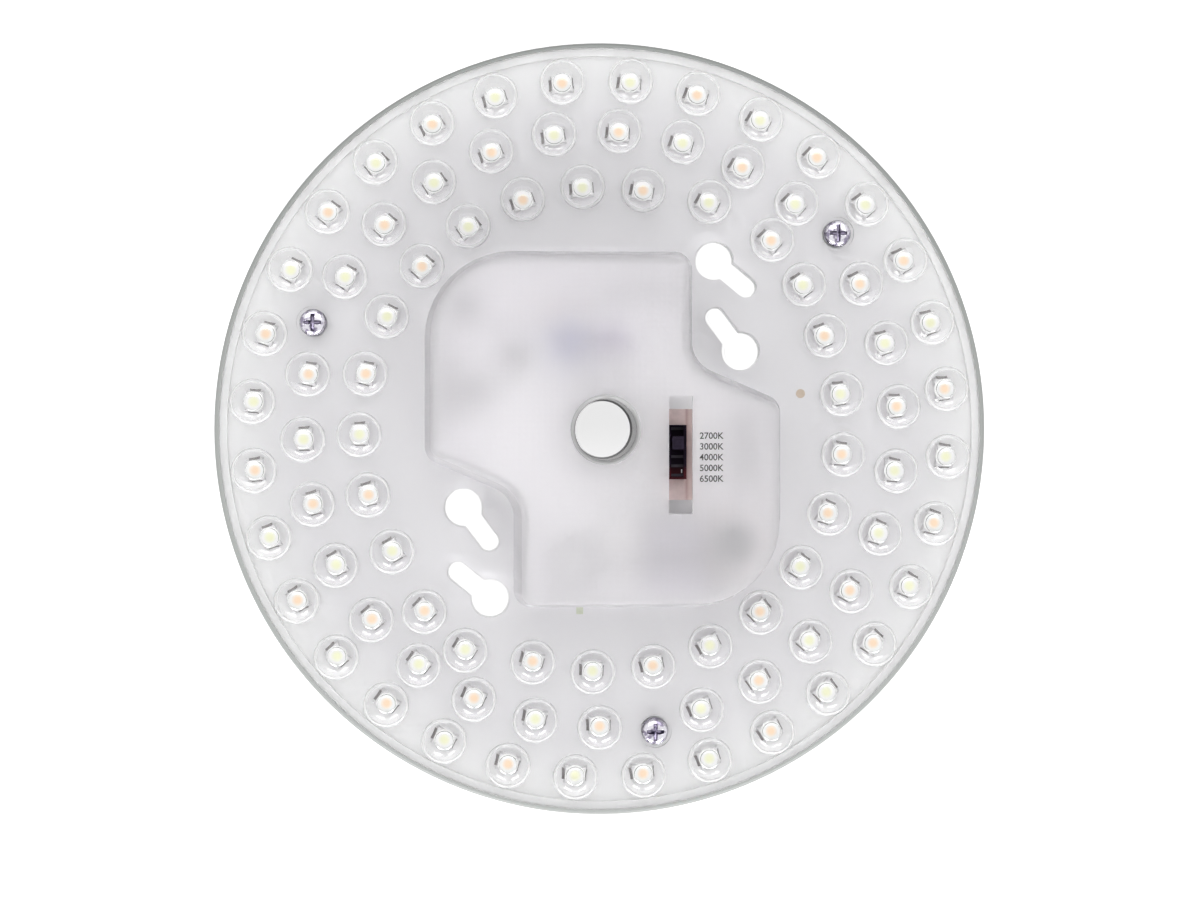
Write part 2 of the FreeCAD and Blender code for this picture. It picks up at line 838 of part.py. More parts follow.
def row(start, pitch, count):
    """Expressions for evenly spaced places from the first one on."""
    return ["(%s + %d * (%s))" % (start, n, pitch) for n in range(int(size(count)))]


def middle_row(centre, pitch, count):
    """Expressions for evenly spaced places about a centre."""
    half = (size(count) - 1) / 2
    return ["(%s + %g * (%s))" % (centre, n - half, pitch) for n in range(int(size(count)))]


def chip(name, x, y, sizes, leads, lead_wide, reach):
    """A moulded body with flat leads that leave its sides towards +Y and -Y."""
    long, wide, tall = sizes
    pieces = [box(x, y, BOARD_TOP, long, wide, tall)]
    across = "%s + 2 * %s" % (wide, reach)
    for place in leads:
        pieces.append(box(place, y, BOARD_TOP, lead_wide, across, "Sizes.lead_thick"))
    return join(name, pieces)


# Wire entry and supply parts


def make_wire_grommet():
    place = ("Sizes.wire_x", "Sizes.wire_y")
    neck = rod(
        *place,
        "Sizes.grommet_gap",
        "Sizes.wire_hole - Sizes.grommet_gap",
        "Sizes.plate_thick - Sizes.grommet_gap",
    )
    flange_tall = "Sizes.grommet_tall - Sizes.plate_thick"
    flange = rod(*place, "Sizes.plate_thick", "Sizes.grommet_flange", flange_tall)
    bore = rod(*place, "0", "Sizes.grommet_bore", "Sizes.grommet_tall")
    return cut("wire_grommet", join("grommet_solid", [neck, flange]), [bore])


def make_terminal_block():
    x, y = "Sizes.terminal_block_x", "Sizes.terminal_block_y"
    long, wide, tall = (
        "Sizes.terminal_block_long",
        "Sizes.terminal_block_wide",
        "Sizes.terminal_block_tall",
    )
    floor = "(%s + (%s - Sizes.wire_mouth) / 2)" % (BOARD_TOP, tall)
    mouths = []
    strips = []
    leg_x = "(%s + %s / 2 + Sizes.terminal_thick / 2)" % (x, long)
    for place in middle_row(y, "Sizes.mouth_pitch", "mouth_count"):
        mouths.append(box(x, place, floor, long, "Sizes.wire_mouth", "Sizes.wire_mouth"))
        strip = box(
            "(%s + %s / 4)" % (x, long),
            place,
            floor,
            "%s / 2" % long,
            "Sizes.wire_mouth / 2",
            "Sizes.terminal_thick",
        )
        leg_tall = "%s + Sizes.terminal_thick - %s" % (floor, BOARD_TOP)
        leg = box(leg_x, place, BOARD_TOP, "Sizes.terminal_thick", "Sizes.wire_mouth / 2", leg_tall)
        strips.append(join("supply_terminal", [strip, leg]))
    housing = cut("terminal_block", box(x, y, BOARD_TOP, long, wide, tall), mouths)
    return [housing, group("supply_terminals", strips)]


def make_fuse():
    x, y = "Sizes.fuse_x", "Sizes.fuse_y"
    level = "(%s + Sizes.fuse_radius)" % BOARD_TOP
    tube_long = "(Sizes.fuse_long - 2 * Sizes.fuse_cap)"
    tube = bar(x, y, level, "Sizes.fuse_radius * 0.9", tube_long)
    reach = "(Sizes.fuse_long - Sizes.fuse_cap) / 2"
    caps = [
        bar("(%s %s %s)" % (x, sign, reach), y, level, "Sizes.fuse_radius", "Sizes.fuse_cap")
        for sign in "+-"
    ]
    return [group("supply_fuse", [tube]), group("fuse_caps", caps)]


def make_varistor():
    x, y = "Sizes.varistor_x", "Sizes.varistor_y"
    disc = rod(x, y, BOARD_TOP, "Sizes.varistor_radius", "Sizes.varistor_thick")
    edge = "(%s - Sizes.varistor_radius - Sizes.varistor_lead / 2 + Sizes.lead_wide)" % x
    leads = [
        box(edge, place, BOARD_TOP, "Sizes.varistor_lead", "Sizes.lead_wide", "Sizes.lead_wide")
        for place in middle_row(y, "Sizes.varistor_pitch", "mouth_count")
    ]
    varistor = cut("varistor", disc, leads)
    return [varistor, group("varistor_leads", leads)]


# Driver parts on the LED board


def make_driver():
    rectifier = chip(
        "bridge_rectifier",
        "Sizes.rectifier_x",
        "Sizes.rectifier_y",
        ("Sizes.rectifier_long", "Sizes.rectifier_wide", "Sizes.rectifier_tall"),
        middle_row("Sizes.rectifier_x", "Sizes.lead_pitch * 2", "mouth_count"),
        "Sizes.lead_wide * 2",
        "Sizes.lead_reach",
    )
    film = box(
        "Sizes.film_x",
        "Sizes.film_y",
        BOARD_TOP,
        "Sizes.film_long",
        "Sizes.film_wide",
        "Sizes.film_tall",
    )
    film.Label = "filter_capacitor"
    cans = [
        bar(
            "Sizes.reservoir_x",
            "(Sizes.reservoir_y + %d * Sizes.reservoir_pitch)" % n,
            "(%s + Sizes.reservoir_radius)" % BOARD_TOP,
            "Sizes.reservoir_radius",
            "Sizes.reservoir_long",
        )
        for n in range(2)
    ]
    chips = [
        chip(
            "driver_chip",
            "Sizes.%schip_x" % which,
            "Sizes.%schip_y" % which,
            ("Sizes.chip_long", "Sizes.chip_wide", "Sizes.chip_tall"),
            middle_row("Sizes.%schip_x" % which, "Sizes.lead_pitch", "lead_count"),
            "Sizes.lead_wide",
            "Sizes.lead_reach",
        )
        for which in ("", "second_", "third_")
    ]
    diodes = [
        chip(
            "diode",
            "Sizes.diode_x",
            place,
            ("Sizes.diode_wide", "Sizes.diode_long", "Sizes.diode_tall"),
            ["Sizes.diode_x"],
            "Sizes.diode_wide / 2",
            "Sizes.lead_reach / 2",
        )
        for place in row("Sizes.diode_y", "Sizes.diode_pitch", "diode_count")
    ]
    parts = [rectifier, film, group("reservoir_capacitors", cans)]
    parts += [group("driver_chips", chips), group("diodes", diodes)]
    return parts + make_choke() + make_chip_rows()


def make_choke():
    place = ("Sizes.choke_x", "Sizes.choke_y")
    waist_foot = "(%s + Sizes.choke_lip)" % BOARD_TOP
    waist_tall = "(Sizes.choke_tall - 2 * Sizes.choke_lip)"
    top_foot = "(%s + Sizes.choke_tall - Sizes.choke_lip)" % BOARD_TOP
    low = rod(*place, BOARD_TOP, "Sizes.choke_flange", "Sizes.choke_lip")
    waist = rod(*place, waist_foot, "Sizes.choke_waist", waist_tall)
    top = rod(*place, top_foot, "Sizes.choke_flange", "Sizes.choke_lip")
    core = join("choke_core", [low, waist, top])
    coil = rod(*place, waist_foot, "Sizes.winding_radius", waist_tall)
    hollow = rod(*place, waist_foot, "Sizes.choke_waist", waist_tall)
    return [core, cut("choke_winding", coil, [hollow])]


def make_chip_rows():
    resistor = ("Sizes.resistor_long", "Sizes.resistor_wide", "Sizes.resistor_tall")
    resistors = []
    for place in row("Sizes.resistor_y", "-Sizes.resistor_pitch", "resistor_count"):
        resistors.append(box("Sizes.resistor_x", place, BOARD_TOP, *resistor))
    for place in row("Sizes.second_resistor_x", "Sizes.resistor_pitch", "resistor_count"):
        long, wide, tall = resistor
        resistors.append(box(place, "Sizes.second_resistor_y", BOARD_TOP, wide, long, tall))
    capacitors = [
        box(
            place,
            "Sizes.capacitor_y",
            BOARD_TOP,
            "Sizes.capacitor_wide",
            "Sizes.capacitor_long",
            "Sizes.capacitor_tall",
        )
        for place in row("Sizes.capacitor_x", "Sizes.capacitor_pitch", "capacitor_count")
    ]
    return [group("chip_resistors", resistors), group("chip_capacitors", capacitors)]


# Riser board with the colour switch: a slide switch with five places


def make_riser():
    """A board on two pin headers that are soldered to its underside."""
    foot = "(Sizes.riser_top - Sizes.riser_thick)"
    board = box(
        "Sizes.window_x",
        "Sizes.riser_y",
        foot,
        "Sizes.riser_wide",
        "Sizes.riser_long",
        "Sizes.riser_thick",
    )
    board.Label = "switch_riser_board"
    tall = "%s - %s" % (foot, BOARD_TOP)
    hole = "Sizes.pin_wide + 2 * Sizes.pin_gap"
    header_long = "Sizes.pin_count * Sizes.pin_pitch"
    reach = "(Sizes.riser_long / 2 - Sizes.header_inset - Sizes.header_wide / 2)"
    headers = []
    pins = []
    for sign in "+-":
        y = "(Sizes.riser_y %s %s)" % (sign, reach)
        places = middle_row("Sizes.window_x", "Sizes.pin_pitch", "pin_count")
        holes = [box(x, y, BOARD_TOP, hole, hole, tall) for x in places]
        block = box("Sizes.window_x", y, BOARD_TOP, header_long, "Sizes.header_wide", tall)
        headers.append(cut("riser_header", block, holes))
        pins += [box(x, y, BOARD_TOP, "Sizes.pin_wide", "Sizes.pin_wide", tall) for x in places]
    return [board, group("riser_headers", headers), group("riser_pins", pins)]


def make_switch():
    x, y = "Sizes.switch_x", "Sizes.switch_y"
    foot = "Sizes.riser_top"
    floor = "(Sizes.riser_top + Sizes.switch_floor)"
    ceiling = "(Sizes.riser_top + Sizes.switch_tall - Sizes.switch_roof)"
    travel = "(4 * Sizes.step_length + Sizes.knob_long + 2 * Sizes.knob_gap)"
    case = box(x, y, foot, "Sizes.switch_wide", "Sizes.switch_long", "Sizes.switch_tall")
    cavity = box(x, y, floor, "Sizes.cavity_wide", travel, "%s - %s" % (ceiling, floor))
    slot = box(x, y, ceiling, "Sizes.slot_wide", travel, "Sizes.switch_roof")
    channels = []
    terminals = []
    for place in middle_row(y, "Sizes.step_length", "terminal_count"):
        across = ("Sizes.switch_wide", "Sizes.terminal_wide", "Sizes.switch_floor")
        channels.append(box(x, place, foot, *across))
        terminals.append(box(x, place, foot, *across))
    housing = cut("switch_housing", case, [join("switch_room", [cavity, slot])] + channels)

    knob_y = "(Sizes.switch_y + Sizes.step_length)"
    base_foot = "(%s + Sizes.wiper_thick)" % floor
    base_tall = "(%s - %s - Sizes.knob_gap)" % (ceiling, base_foot)
    base_wide = "Sizes.cavity_wide - 2 * Sizes.knob_gap"
    stem_wide = "Sizes.slot_wide - 2 * Sizes.knob_gap"
    stem_tall = "Sizes.knob_top - %s" % base_foot
    base = box(x, knob_y, base_foot, base_wide, "Sizes.knob_long", base_tall)
    stem = box(x, knob_y, base_foot, stem_wide, "Sizes.knob_long", stem_tall)
    wiper = box(
        x,
        knob_y,
        floor,
        "Sizes.cavity_wide / 2",
        "Sizes.knob_long",
        "Sizes.wiper_thick",
    )
    wiper.Label = "switch_wiper"
    return [housing, group("switch_terminals", terminals), join("switch_knob", [base, stem]), wiper]


def main():
    os.makedirs("parts", exist_ok=True)
    parts = [make_base_plate(), make_led_board(), make_lens_cover(), make_cover_screws()]
    parts += make_leds()
    parts += [make_wire_grommet()] + make_terminal_block() + make_fuse() + make_varistor()
    parts += make_driver() + make_riser() + make_switch()
    doc.recompute()
    for item in doc.Objects:
        state = [word for word in item.State if word in ("Invalid", "Error")]
        if state:
            raise RuntimeError("%s is %s" % (item.Name, state[0]))
    for part in parts:
        if part.Shape.isNull() or not part.Shape.isValid():
            raise RuntimeError("%s has no valid shape" % part.Label)
    for part in parts:
        part.Shape.exportStep("parts/%s.step" % part.Label)


main()
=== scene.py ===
"""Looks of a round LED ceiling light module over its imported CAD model. Lengths are in metres."""

import math
import bmesh
import bpy
from mathutils import Matrix, Vector


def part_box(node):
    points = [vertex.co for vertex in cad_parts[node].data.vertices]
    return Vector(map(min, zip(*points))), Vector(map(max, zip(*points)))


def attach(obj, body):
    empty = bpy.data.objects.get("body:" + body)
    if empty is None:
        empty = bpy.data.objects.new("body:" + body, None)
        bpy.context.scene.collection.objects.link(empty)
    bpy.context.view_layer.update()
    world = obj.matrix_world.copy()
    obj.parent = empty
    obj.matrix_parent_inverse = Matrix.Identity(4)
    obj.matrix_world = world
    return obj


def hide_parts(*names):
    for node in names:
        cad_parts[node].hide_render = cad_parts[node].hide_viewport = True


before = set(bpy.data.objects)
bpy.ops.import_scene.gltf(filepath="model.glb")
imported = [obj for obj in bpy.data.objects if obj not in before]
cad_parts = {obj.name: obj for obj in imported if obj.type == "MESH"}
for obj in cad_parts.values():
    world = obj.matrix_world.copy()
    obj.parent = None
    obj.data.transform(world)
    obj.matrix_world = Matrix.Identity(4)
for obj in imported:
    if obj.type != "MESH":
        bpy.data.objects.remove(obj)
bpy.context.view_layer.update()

MM = 0.001
BODY = "module"
SLIDER = "colour_slider"

# Levels and radii of the lens cover, read from the frame where a node shows them. The dome is lower
# than the CAD's by half the print on it, so that the print's top is level with the CAD's dome.
COVER_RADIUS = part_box("lens_cover")[1][0]
PRINT_THICK = 0.02 * MM
DOME_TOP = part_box("lens_cover")[1][2] - PRINT_THICK / 2
BOARD_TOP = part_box("led_board")[1][2]
LENS_WALL = 1.6 * MM
FLANGE_TOP = 5.0 * MM
UNDER = FLANGE_TOP - LENS_WALL
ROOF = DOME_TOP - LENS_WALL
SKIRT_WALL = 1.4 * MM
SKIRT_FOOT = 0.2 * MM
SKIRT_SLOPE = 0.3 * MM
RIM_EDGE = 0.8 * MM

# The opaque ledge under the flange's edge, and its gaps to the board and to the clear plate
LEDGE_WIDTH = 1.6 * MM
LEDGE_GAP = 0.05 * MM
PLATE_GAP = 0.02 * MM

# The dome's outline
DOME_HALF = 38.8 * MM
DOME_NECK = 19.5 * MM
SHOULDER_Y = 14.6 * MM
SHOULDER_ANGLE = math.radians(23.3)
DRAFT = math.radians(8.0)
DOME_EDGE = 1.2 * MM
NECK_CORNER = 4.0 * MM
CROOK_CORNER = 6.8 * MM
SHOULDER_CORNER = 4.0 * MM
BIG_CORNER = 19.2 * MM

# Holes
BORE_RADIUS = 6.5 * MM
BORE_LIP = 1.0 * MM
SLEEVE_RADIUS = 7.5 * MM
SLEEVE_FOOT = 1.0 * MM
OUTER_PAIR = 44.45 * MM
INNER_PAIR = 34.93 * MM
PAIR_ANGLE = math.radians(44.6)
OUTER_HEAD_TURN = math.radians(11.8)
INNER_HEAD_TURN = math.radians(-15.2)
HEAD_RADIUS = 3.8 * MM
SLOT_RADIUS = 1.87 * MM
SLOT_BLEND = 0.8 * MM
WINDOW_X = 15.95 * MM
WINDOW_Y = -5.4 * MM
WINDOW_WIDE = 5.1 * MM
WINDOW_LONG = 25.1 * MM

# Screw seats. Their angles and those of the LED rings are in degrees.
ROUND = 360.0
SCREW_RING = 67.0 * MM
SCREW_ANGLE = 39.8
SCREW_COUNT = 3
SEAT_RADIUS = 3.6 * MM
SEAT_DEEP = 0.6 * MM
SCREW_HOLE = 1.65 * MM

# Places of the LEDs: an outer ring, three runs between the screws, and an inner ring of which some
# are moved (by number: radius, angle) to clear the keyholes
OUTER_RING = 76.1 * MM
OUTER_COUNT = 32
OUTER_FIRST = -4.55
MIDDLE_RING = 65.1 * MM
MIDDLE_STEP = 12.5
MIDDLE_LEAD = 9.6
MIDDLE_RUN = 9
INNER_RING = 53.0 * MM
INNER_COUNT = 25
INNER_FIRST = -6.0
MOVED = {
    3: (54.3 * MM, 35.7),
    4: (55.6 * MM, 48.2),
    5: (54.9 * MM, 64.9),
    16: (55.5 * MM, 225.5),
    17: (56.7 * MM, 238.0),
}

# Lenses and LEDs
LENS_RADIUS = 4.95 * MM
LENS_TALL = 2.0 * MM
LENS_ROLL = 0.7 * MM
CROWN_RADIUS = 2.55 * MM
CROWN_BOW = 7.46 * MM
CROWN_SHOULDER = 4.0 * MM
CROWN_STEEPEST = math.radians(45.0)
CROWN_SHARES = (0.85, 0.65, 0.45, 0.25, 0.1)
BUBBLE_RADIUS = 1.75 * MM
BUBBLE_TALL = 0.45 * MM
LED_FACE_RADIUS = 1.8 * MM
LED_FACE_TALL = 0.12 * MM
LED_FACE_SHARES = (1.0, 0.85, 0.7, 0.5, 0.3, 0.1)
LED_HALF = 1.75 * MM
SOLDER_LONG = 0.27 * MM
SOLDER_SHORT = 0.12 * MM
SOLDER_HALF = 0.85 * MM
SOLDER_TALL = 0.3 * MM
# The joint on the side that faces this way is the longer one
SOLDER_MARK = (0.87, 0.5)

# Steps of the circles and arcs
LENS_STEPS = 32
BUBBLE_STEPS = 20
DISC_STEPS = 180
BORE_STEPS = 64
FACE_STEPS = 24
ROLL_STEPS = 6
SHOULDER_STEPS = 7
BUBBLE_RINGS = 6
EDGE_STEPS = 5
CORNER_STEPS = 10
HEAD_STEPS = 24
BLEND_STEPS = 4
END_STEPS = 12
SCREW_STEPS = 96
SCREW_RINGS = 28

# Cover screws
SHANK_RADIUS = 1.5 * MM
SCREW_HEAD = 2.95 * MM
CROSS_HALF = 0.42 * MM
CROSS_REACH = 1.9 * MM
CROSS_EDGE = 0.18 * MM
CROSS_DEEP = 1.5 * MM
CROSS_SHADE = 0.3 * MM
CROSS_TAPER = 0.6
HEAD_POWER = 3.2
HEAD_MIDDLE = 0.02
EDGE_SHARE = 0.95

# Switch knob
STEM_WIDE = 2.5 * MM
BASE_TALL = 1.5 * MM
RIB_COUNT = 3
RIB_PITCH = 0.7 * MM
RIB_SIZE = (2.1 * MM, 0.25 * MM, 0.2 * MM)
RIB_STAND = 0.12 * MM
KNOB_EDGE = 0.08 * MM

# Small pads
PAD_XS = (14.2 * MM, 16.6 * MM)
PAD_Y = -8.95 * MM
PAD_WIDE = 0.25 * MM
PAD_LONG = 0.8 * MM
PAD_TALL = 0.1 * MM
TAN_PAD = (43.65 * MM, 7.83 * MM)
TAN_RADIUS = 1.0 * MM
GREEN_PAD = (-5.0 * MM, -39.8 * MM)
GREEN_WIDE = 1.5 * MM

# Print on the dome beside the switch
LABELS = ("2700K", "3000K", "4000K", "5000K", "6500K")
LABEL_X = 22.46 * MM
LABEL_Y = -1.33 * MM
LABEL_PITCH = 2.285 * MM
LABEL_TALL = 1.4 * MM
FONT_CAP = 0.73
PRINT_BOLD = 0.025 * MM

# Colours
# The board's grey and its white; the white band near the rim is painted light
BOARD_INNER = (0.855, 0.845, 0.865)
BOARD_OUTER = (0.97, 0.97, 0.97)
# The rim's greys are painted shade: palest at its bottom, darkest at its top
RIM_PALE = (0.42, 0.435, 0.425)
RIM_MIDDLE = (0.4, 0.415, 0.405)
RIM_DARK = (0.295, 0.31, 0.3)
FROST = (0.94, 0.93, 0.945, 1.0)
LED_WHITE = (0.93, 0.93, 0.92)
WARM_TONE = (0.95, 0.72, 0.5)
COOL_TONE = (0.87, 0.88, 0.6)
CHROME_DARK = (0.03, 0.025, 0.05)
CHROME_MIDDLE = (0.3, 0.27, 0.36)
CHROME_PALE = (0.75, 0.73, 0.79)
RISER_BROWN = (0.68, 0.54, 0.52)
RISER_RED = (0.5, 0.33, 0.31)
RISER_PALE = (0.66, 0.52, 0.49)
SWITCH_BLACK = (0.006, 0.002, 0.008)
SWITCH_RED = (0.05, 0.008, 0.012)
# Near-black tones on the bore's clear wall: painted shade inside the sleeve
BORE_SHADE_TONES = ((0.02, 0.02, 0.022), (0.11, 0.1, 0.115))
KNOB_TONES = ((0.008, 0.004, 0.012), (0.016, 0.01, 0.024))
SPECKLE_TONES = ((0.82, 0.82, 0.82), (1.0, 1.0, 1.0))
FLOOR_GREY = (0.6, 0.6, 0.6, 1.0)
WHITE = (1.0, 1.0, 1.0, 1.0)

# Where colours change: shares of the cover's radius on the board, and lengths on the switch. The
# board's whiter band near the rim is painted light.
BOARD_RIM_LIGHT_STOPS = ((0.28, BOARD_OUTER), (0.34, BOARD_INNER), (0.8, BOARD_INNER), (0.96, BOARD_OUTER))
# The rim's stops and slope lay painted shade across it, darkest towards its top
RIM_SHADE_STOPS = ((0.05, RIM_PALE), (0.45, RIM_MIDDLE), (0.9, RIM_DARK))
RIM_SHADE_SLOPE = (0.05 / COVER_RADIUS, 0.4 / COVER_RADIUS, 0.0)
SWITCH_SPAN = 20.0 * MM
SWITCH_STOPS = ((0.55, SWITCH_RED), (0.62, SWITCH_BLACK))
RISER_LINE = 17.75 * MM / SWITCH_SPAN
RISER_BLUR = 0.025

# Camera, fitted to the photograph in its own pixels, lights and floor
PHOTO_WIDTH = 1200.0
SENSOR_WIDTH = 36.0
CAMERA_FOCUS = 2063.7
CAMERA_SHIFT = (-3.03, -20.69)
CAMERA_PLACE = (-22.61 * MM, 3.77 * MM, 454.42 * MM)
CAMERA_TARGET = (0.0, 0.0, 5.0 * MM)
WORLD_LIGHT = 0.42
TOP_BOX = {"place": (0.0, 0.6, 0.85), "wide": 1.3, "tall": 0.7, "watts": 4.9}
LOW_BOX = {"wide": 0.55, "tall": 0.3, "watts": 6.0}
LOW_PLACE = (0.43, -0.97, 0.563)
FLOOR_HALF = 3.0
FLOOR_LEVEL = -0.05 * MM
FLOOR_GLOW = 0.76

# Material slots of the cover's mesh
CLEAR, FROSTED, RIM, BORE, LIP, LEDGE = range(6)


# Materials


def new_material(name):
    material = bpy.data.materials.new(name)
    material.use_nodes = True
    tree = material.node_tree
    return material, tree, tree.nodes["Principled BSDF"]


def set_shader(shader, **values):
    for name, value in values.items():
        shader.inputs[name.replace("_", " ")].default_value = value


def object_place(tree):
    return tree.nodes.new("ShaderNodeTexCoord").outputs["Object"]


def noise_node(tree, place, scale, detail=3.0):
    node = tree.nodes.new("ShaderNodeTexNoise")
    node.inputs["Scale"].default_value = scale
    node.inputs["Detail"].default_value = detail
    tree.links.new(place, node.inputs["Vector"])
    return node.outputs["Fac"]


def ramp_node(tree, factor, stops):
    """A colour ramp through (place, colour) stops."""
    ramp = tree.nodes.new("ShaderNodeValToRGB")
    elements = ramp.color_ramp.elements
    while len(elements) < len(stops):
        elements.new(0.5)
    for element, (place, colour) in zip(elements, stops):
        element.position = place
        element.color = (*colour, 1.0)
    tree.links.new(factor, ramp.inputs["Fac"])
    return ramp.outputs["Color"]


def mix_tones(tree, factor, low, high):
    """A colour that runs from low to high over the middle of the noise's range."""
    return ramp_node(tree, factor, [(0.3, low), (0.7, high)])


def colour_from(tree, shader, socket):
    tree.links.new(socket, shader.inputs["Base Color"])


def math_node(tree, operation, source, *numbers):
    """A sum on one value and up to two constants."""
    node = tree.nodes.new("ShaderNodeMath")
    node.operation = operation
    tree.links.new(source, node.inputs[0])
    for place, number in enumerate(numbers, 1):
        node.inputs[place].default_value = number
    return node.outputs[0]


def add_bump(tree, shader, height, distance, strength=1.0):
    bump = tree.nodes.new("ShaderNodeBump")
    bump.inputs["Strength"].default_value = strength
    bump.inputs["Distance"].default_value = distance
    tree.links.new(height, bump.inputs["Height"])
    tree.links.new(bump.outputs["Normal"], shader.inputs["Normal"])


def add_grain(tree, shader, scale, relief):
    """A bump from noise."""
    add_bump(tree, shader, noise_node(tree, object_place(tree), scale), relief)


def plain_surface(name, low, high, roughness, metallic=0.0):
    """A surface whose colour drifts between two tones over a fine grain."""
    material, tree, shader = new_material(name)
    fac = noise_node(tree, object_place(tree), scale=900.0)
    colour_from(tree, shader, mix_tones(tree, fac, low, high))
    set_shader(shader, Roughness=roughness, Metallic=metallic)
    add_grain(tree, shader, scale=3600.0, relief=0.01 * MM)
    return material


def radius_share(tree):
    """How far a point lies from the middle of the face, as a share of the cover's radius."""
    length = tree.nodes.new("ShaderNodeVectorMath")
    length.operation = "LENGTH"
    tree.links.new(object_place(tree), length.inputs[0])
    return math_node(tree, "DIVIDE", length.outputs["Value"], COVER_RADIUS)


def board_mask():
    """White solder mask with painted light: greyer between the LEDs, whiter near the rim."""
    material, tree, shader = new_material("board_white")
    colour_from(tree, shader, ramp_node(tree, radius_share(tree), BOARD_RIM_LIGHT_STOPS))
    set_shader(shader, Roughness=0.5)
    add_grain(tree, shader, scale=3000.0, relief=0.004 * MM)
    return material


def clear_plastic():
    """The plate and its lenses, with a slight waviness from the mould."""
    material, tree, shader = new_material("clear_plastic")
    set_shader(shader, Base_Color=(0.998, 0.998, 1.0, 1.0), Roughness=0.04, IOR=1.49)
    set_shader(shader, Transmission_Weight=1.0)
    add_grain(tree, shader, scale=120.0, relief=0.01 * MM)
    return material


def lip_plastic():
    """The rolled edge of each lens, which scatters a little of the light that falls on it."""
    material, tree, shader = new_material("lip_plastic")
    set_shader(shader, Base_Color=(0.98, 0.98, 0.98, 1.0), Roughness=0.25, IOR=1.49)
    set_shader(shader, Transmission_Weight=0.6)
    add_grain(tree, shader, scale=300.0, relief=0.01 * MM)
    return material


def rim_plastic():
    """The cover's edge, painted grey because light runs out along the moulding, with painted shade
    darkest at its top.
    """
    material, tree, shader = new_material("rim_plastic")
    split = tree.nodes.new("ShaderNodeVectorMath")
    split.operation = "DOT_PRODUCT"
    split.inputs[1].default_value = RIM_SHADE_SLOPE
    tree.links.new(object_place(tree), split.inputs[0])
    shift = math_node(tree, "ADD", split.outputs["Value"], 0.5)
    colour_from(tree, shader, ramp_node(tree, shift, RIM_SHADE_STOPS))
    set_shader(shader, Roughness=0.3, IOR=1.49)
    add_grain(tree, shader, scale=400.0, relief=0.01 * MM)
    return material


def frosted_plastic():
    """Milky plastic with a fine prism pattern."""
    material, tree, shader = new_material("frosted_plastic")
    set_shader(shader, Base_Color=FROST, Roughness=0.6, IOR=1.49)
    set_shader(shader, Transmission_Weight=0.78)
    cells = tree.nodes.new("ShaderNodeTexVoronoi")
    cells.inputs["Scale"].default_value = 750.0
    cells.inputs["Randomness"].default_value = 0.15
    tree.links.new(object_place(tree), cells.inputs["Vector"])
    add_bump(tree, shader, cells.outputs["Distance"], 0.12 * MM, 0.5)
    return material


def toned_plastic(name, scale, tones, **values):
    """Smooth plastic that drifts between two dark tones."""
    material, tree, shader = new_material(name)
    fac = noise_node(tree, object_place(tree), scale)
    colour_from(tree, shader, mix_tones(tree, fac, *tones))
    set_shader(shader, **values)
    return material


def phosphor(name, tone):
    """An LED's face: tinted in the middle and white towards its edge."""
    material, tree, shader = new_material(name)
    reach = tree.nodes.new("ShaderNodeAttribute")
    reach.attribute_name = "reach"
    between = tuple(0.5 * part + 0.47 for part in tone)
    stops = [(0.25, tone), (0.5, between), (0.68, LED_WHITE)]
    colour_from(tree, shader, ramp_node(tree, reach.outputs["Fac"], stops))
    set_shader(shader, Roughness=0.45)
    add_grain(tree, shader, scale=4000.0, relief=0.004 * MM)
    return material


def chrome(name, dark, pale):
    """Bright plating with painted darker reflections broken up over it."""
    material, tree, shader = new_material(name)
    fac = noise_node(tree, object_place(tree), scale=900.0, detail=1.0)
    colour_from(tree, shader, ramp_node(tree, fac, [(0.36, dark), (0.5, pale)]))
    set_shader(shader, Roughness=0.18, Metallic=1.0)
    return material


def switch_plastic():
    """Black plastic that turns dark red towards the switch's lower end."""
    material, tree, shader = new_material("switch_black")
    split = tree.nodes.new("ShaderNodeSeparateXYZ")
    tree.links.new(object_place(tree), split.inputs[0])
    along = math_node(tree, "MULTIPLY_ADD", split.outputs["Y"], 1.0 / SWITCH_SPAN, 1.0)
    colour_from(tree, shader, ramp_node(tree, along, SWITCH_STOPS))
    set_shader(shader, Roughness=0.6, Specular_IOR_Level=0.08)
    add_grain(tree, shader, scale=3000.0, relief=0.005 * MM)
    return material


def riser_laminate():
    """Bare brown laminate with a redder line near its right edge."""
    material, tree, shader = new_material("riser_brown")
    place = object_place(tree)
    split = tree.nodes.new("ShaderNodeSeparateXYZ")
    tree.links.new(place, split.inputs[0])
    across = math_node(tree, "MULTIPLY", split.outputs["X"], 1.0 / SWITCH_SPAN)
    before, after = RISER_LINE - RISER_BLUR, RISER_LINE + RISER_BLUR
    stops = [(before, RISER_BROWN), (RISER_LINE, RISER_RED), (after, RISER_PALE)]
    speckle = mix_tones(tree, noise_node(tree, place, scale=500.0), *SPECKLE_TONES)
    mix = tree.nodes.new("ShaderNodeMix")
    mix.data_type = "RGBA"
    mix.blend_type = "MULTIPLY"
    mix.inputs["Factor"].default_value = 1.0
    tree.links.new(ramp_node(tree, across, stops), mix.inputs["A"])
    tree.links.new(speckle, mix.inputs["B"])
    colour_from(tree, shader, mix.outputs["Result"])
    set_shader(shader, Roughness=0.5)
    return material


# Mesh helpers


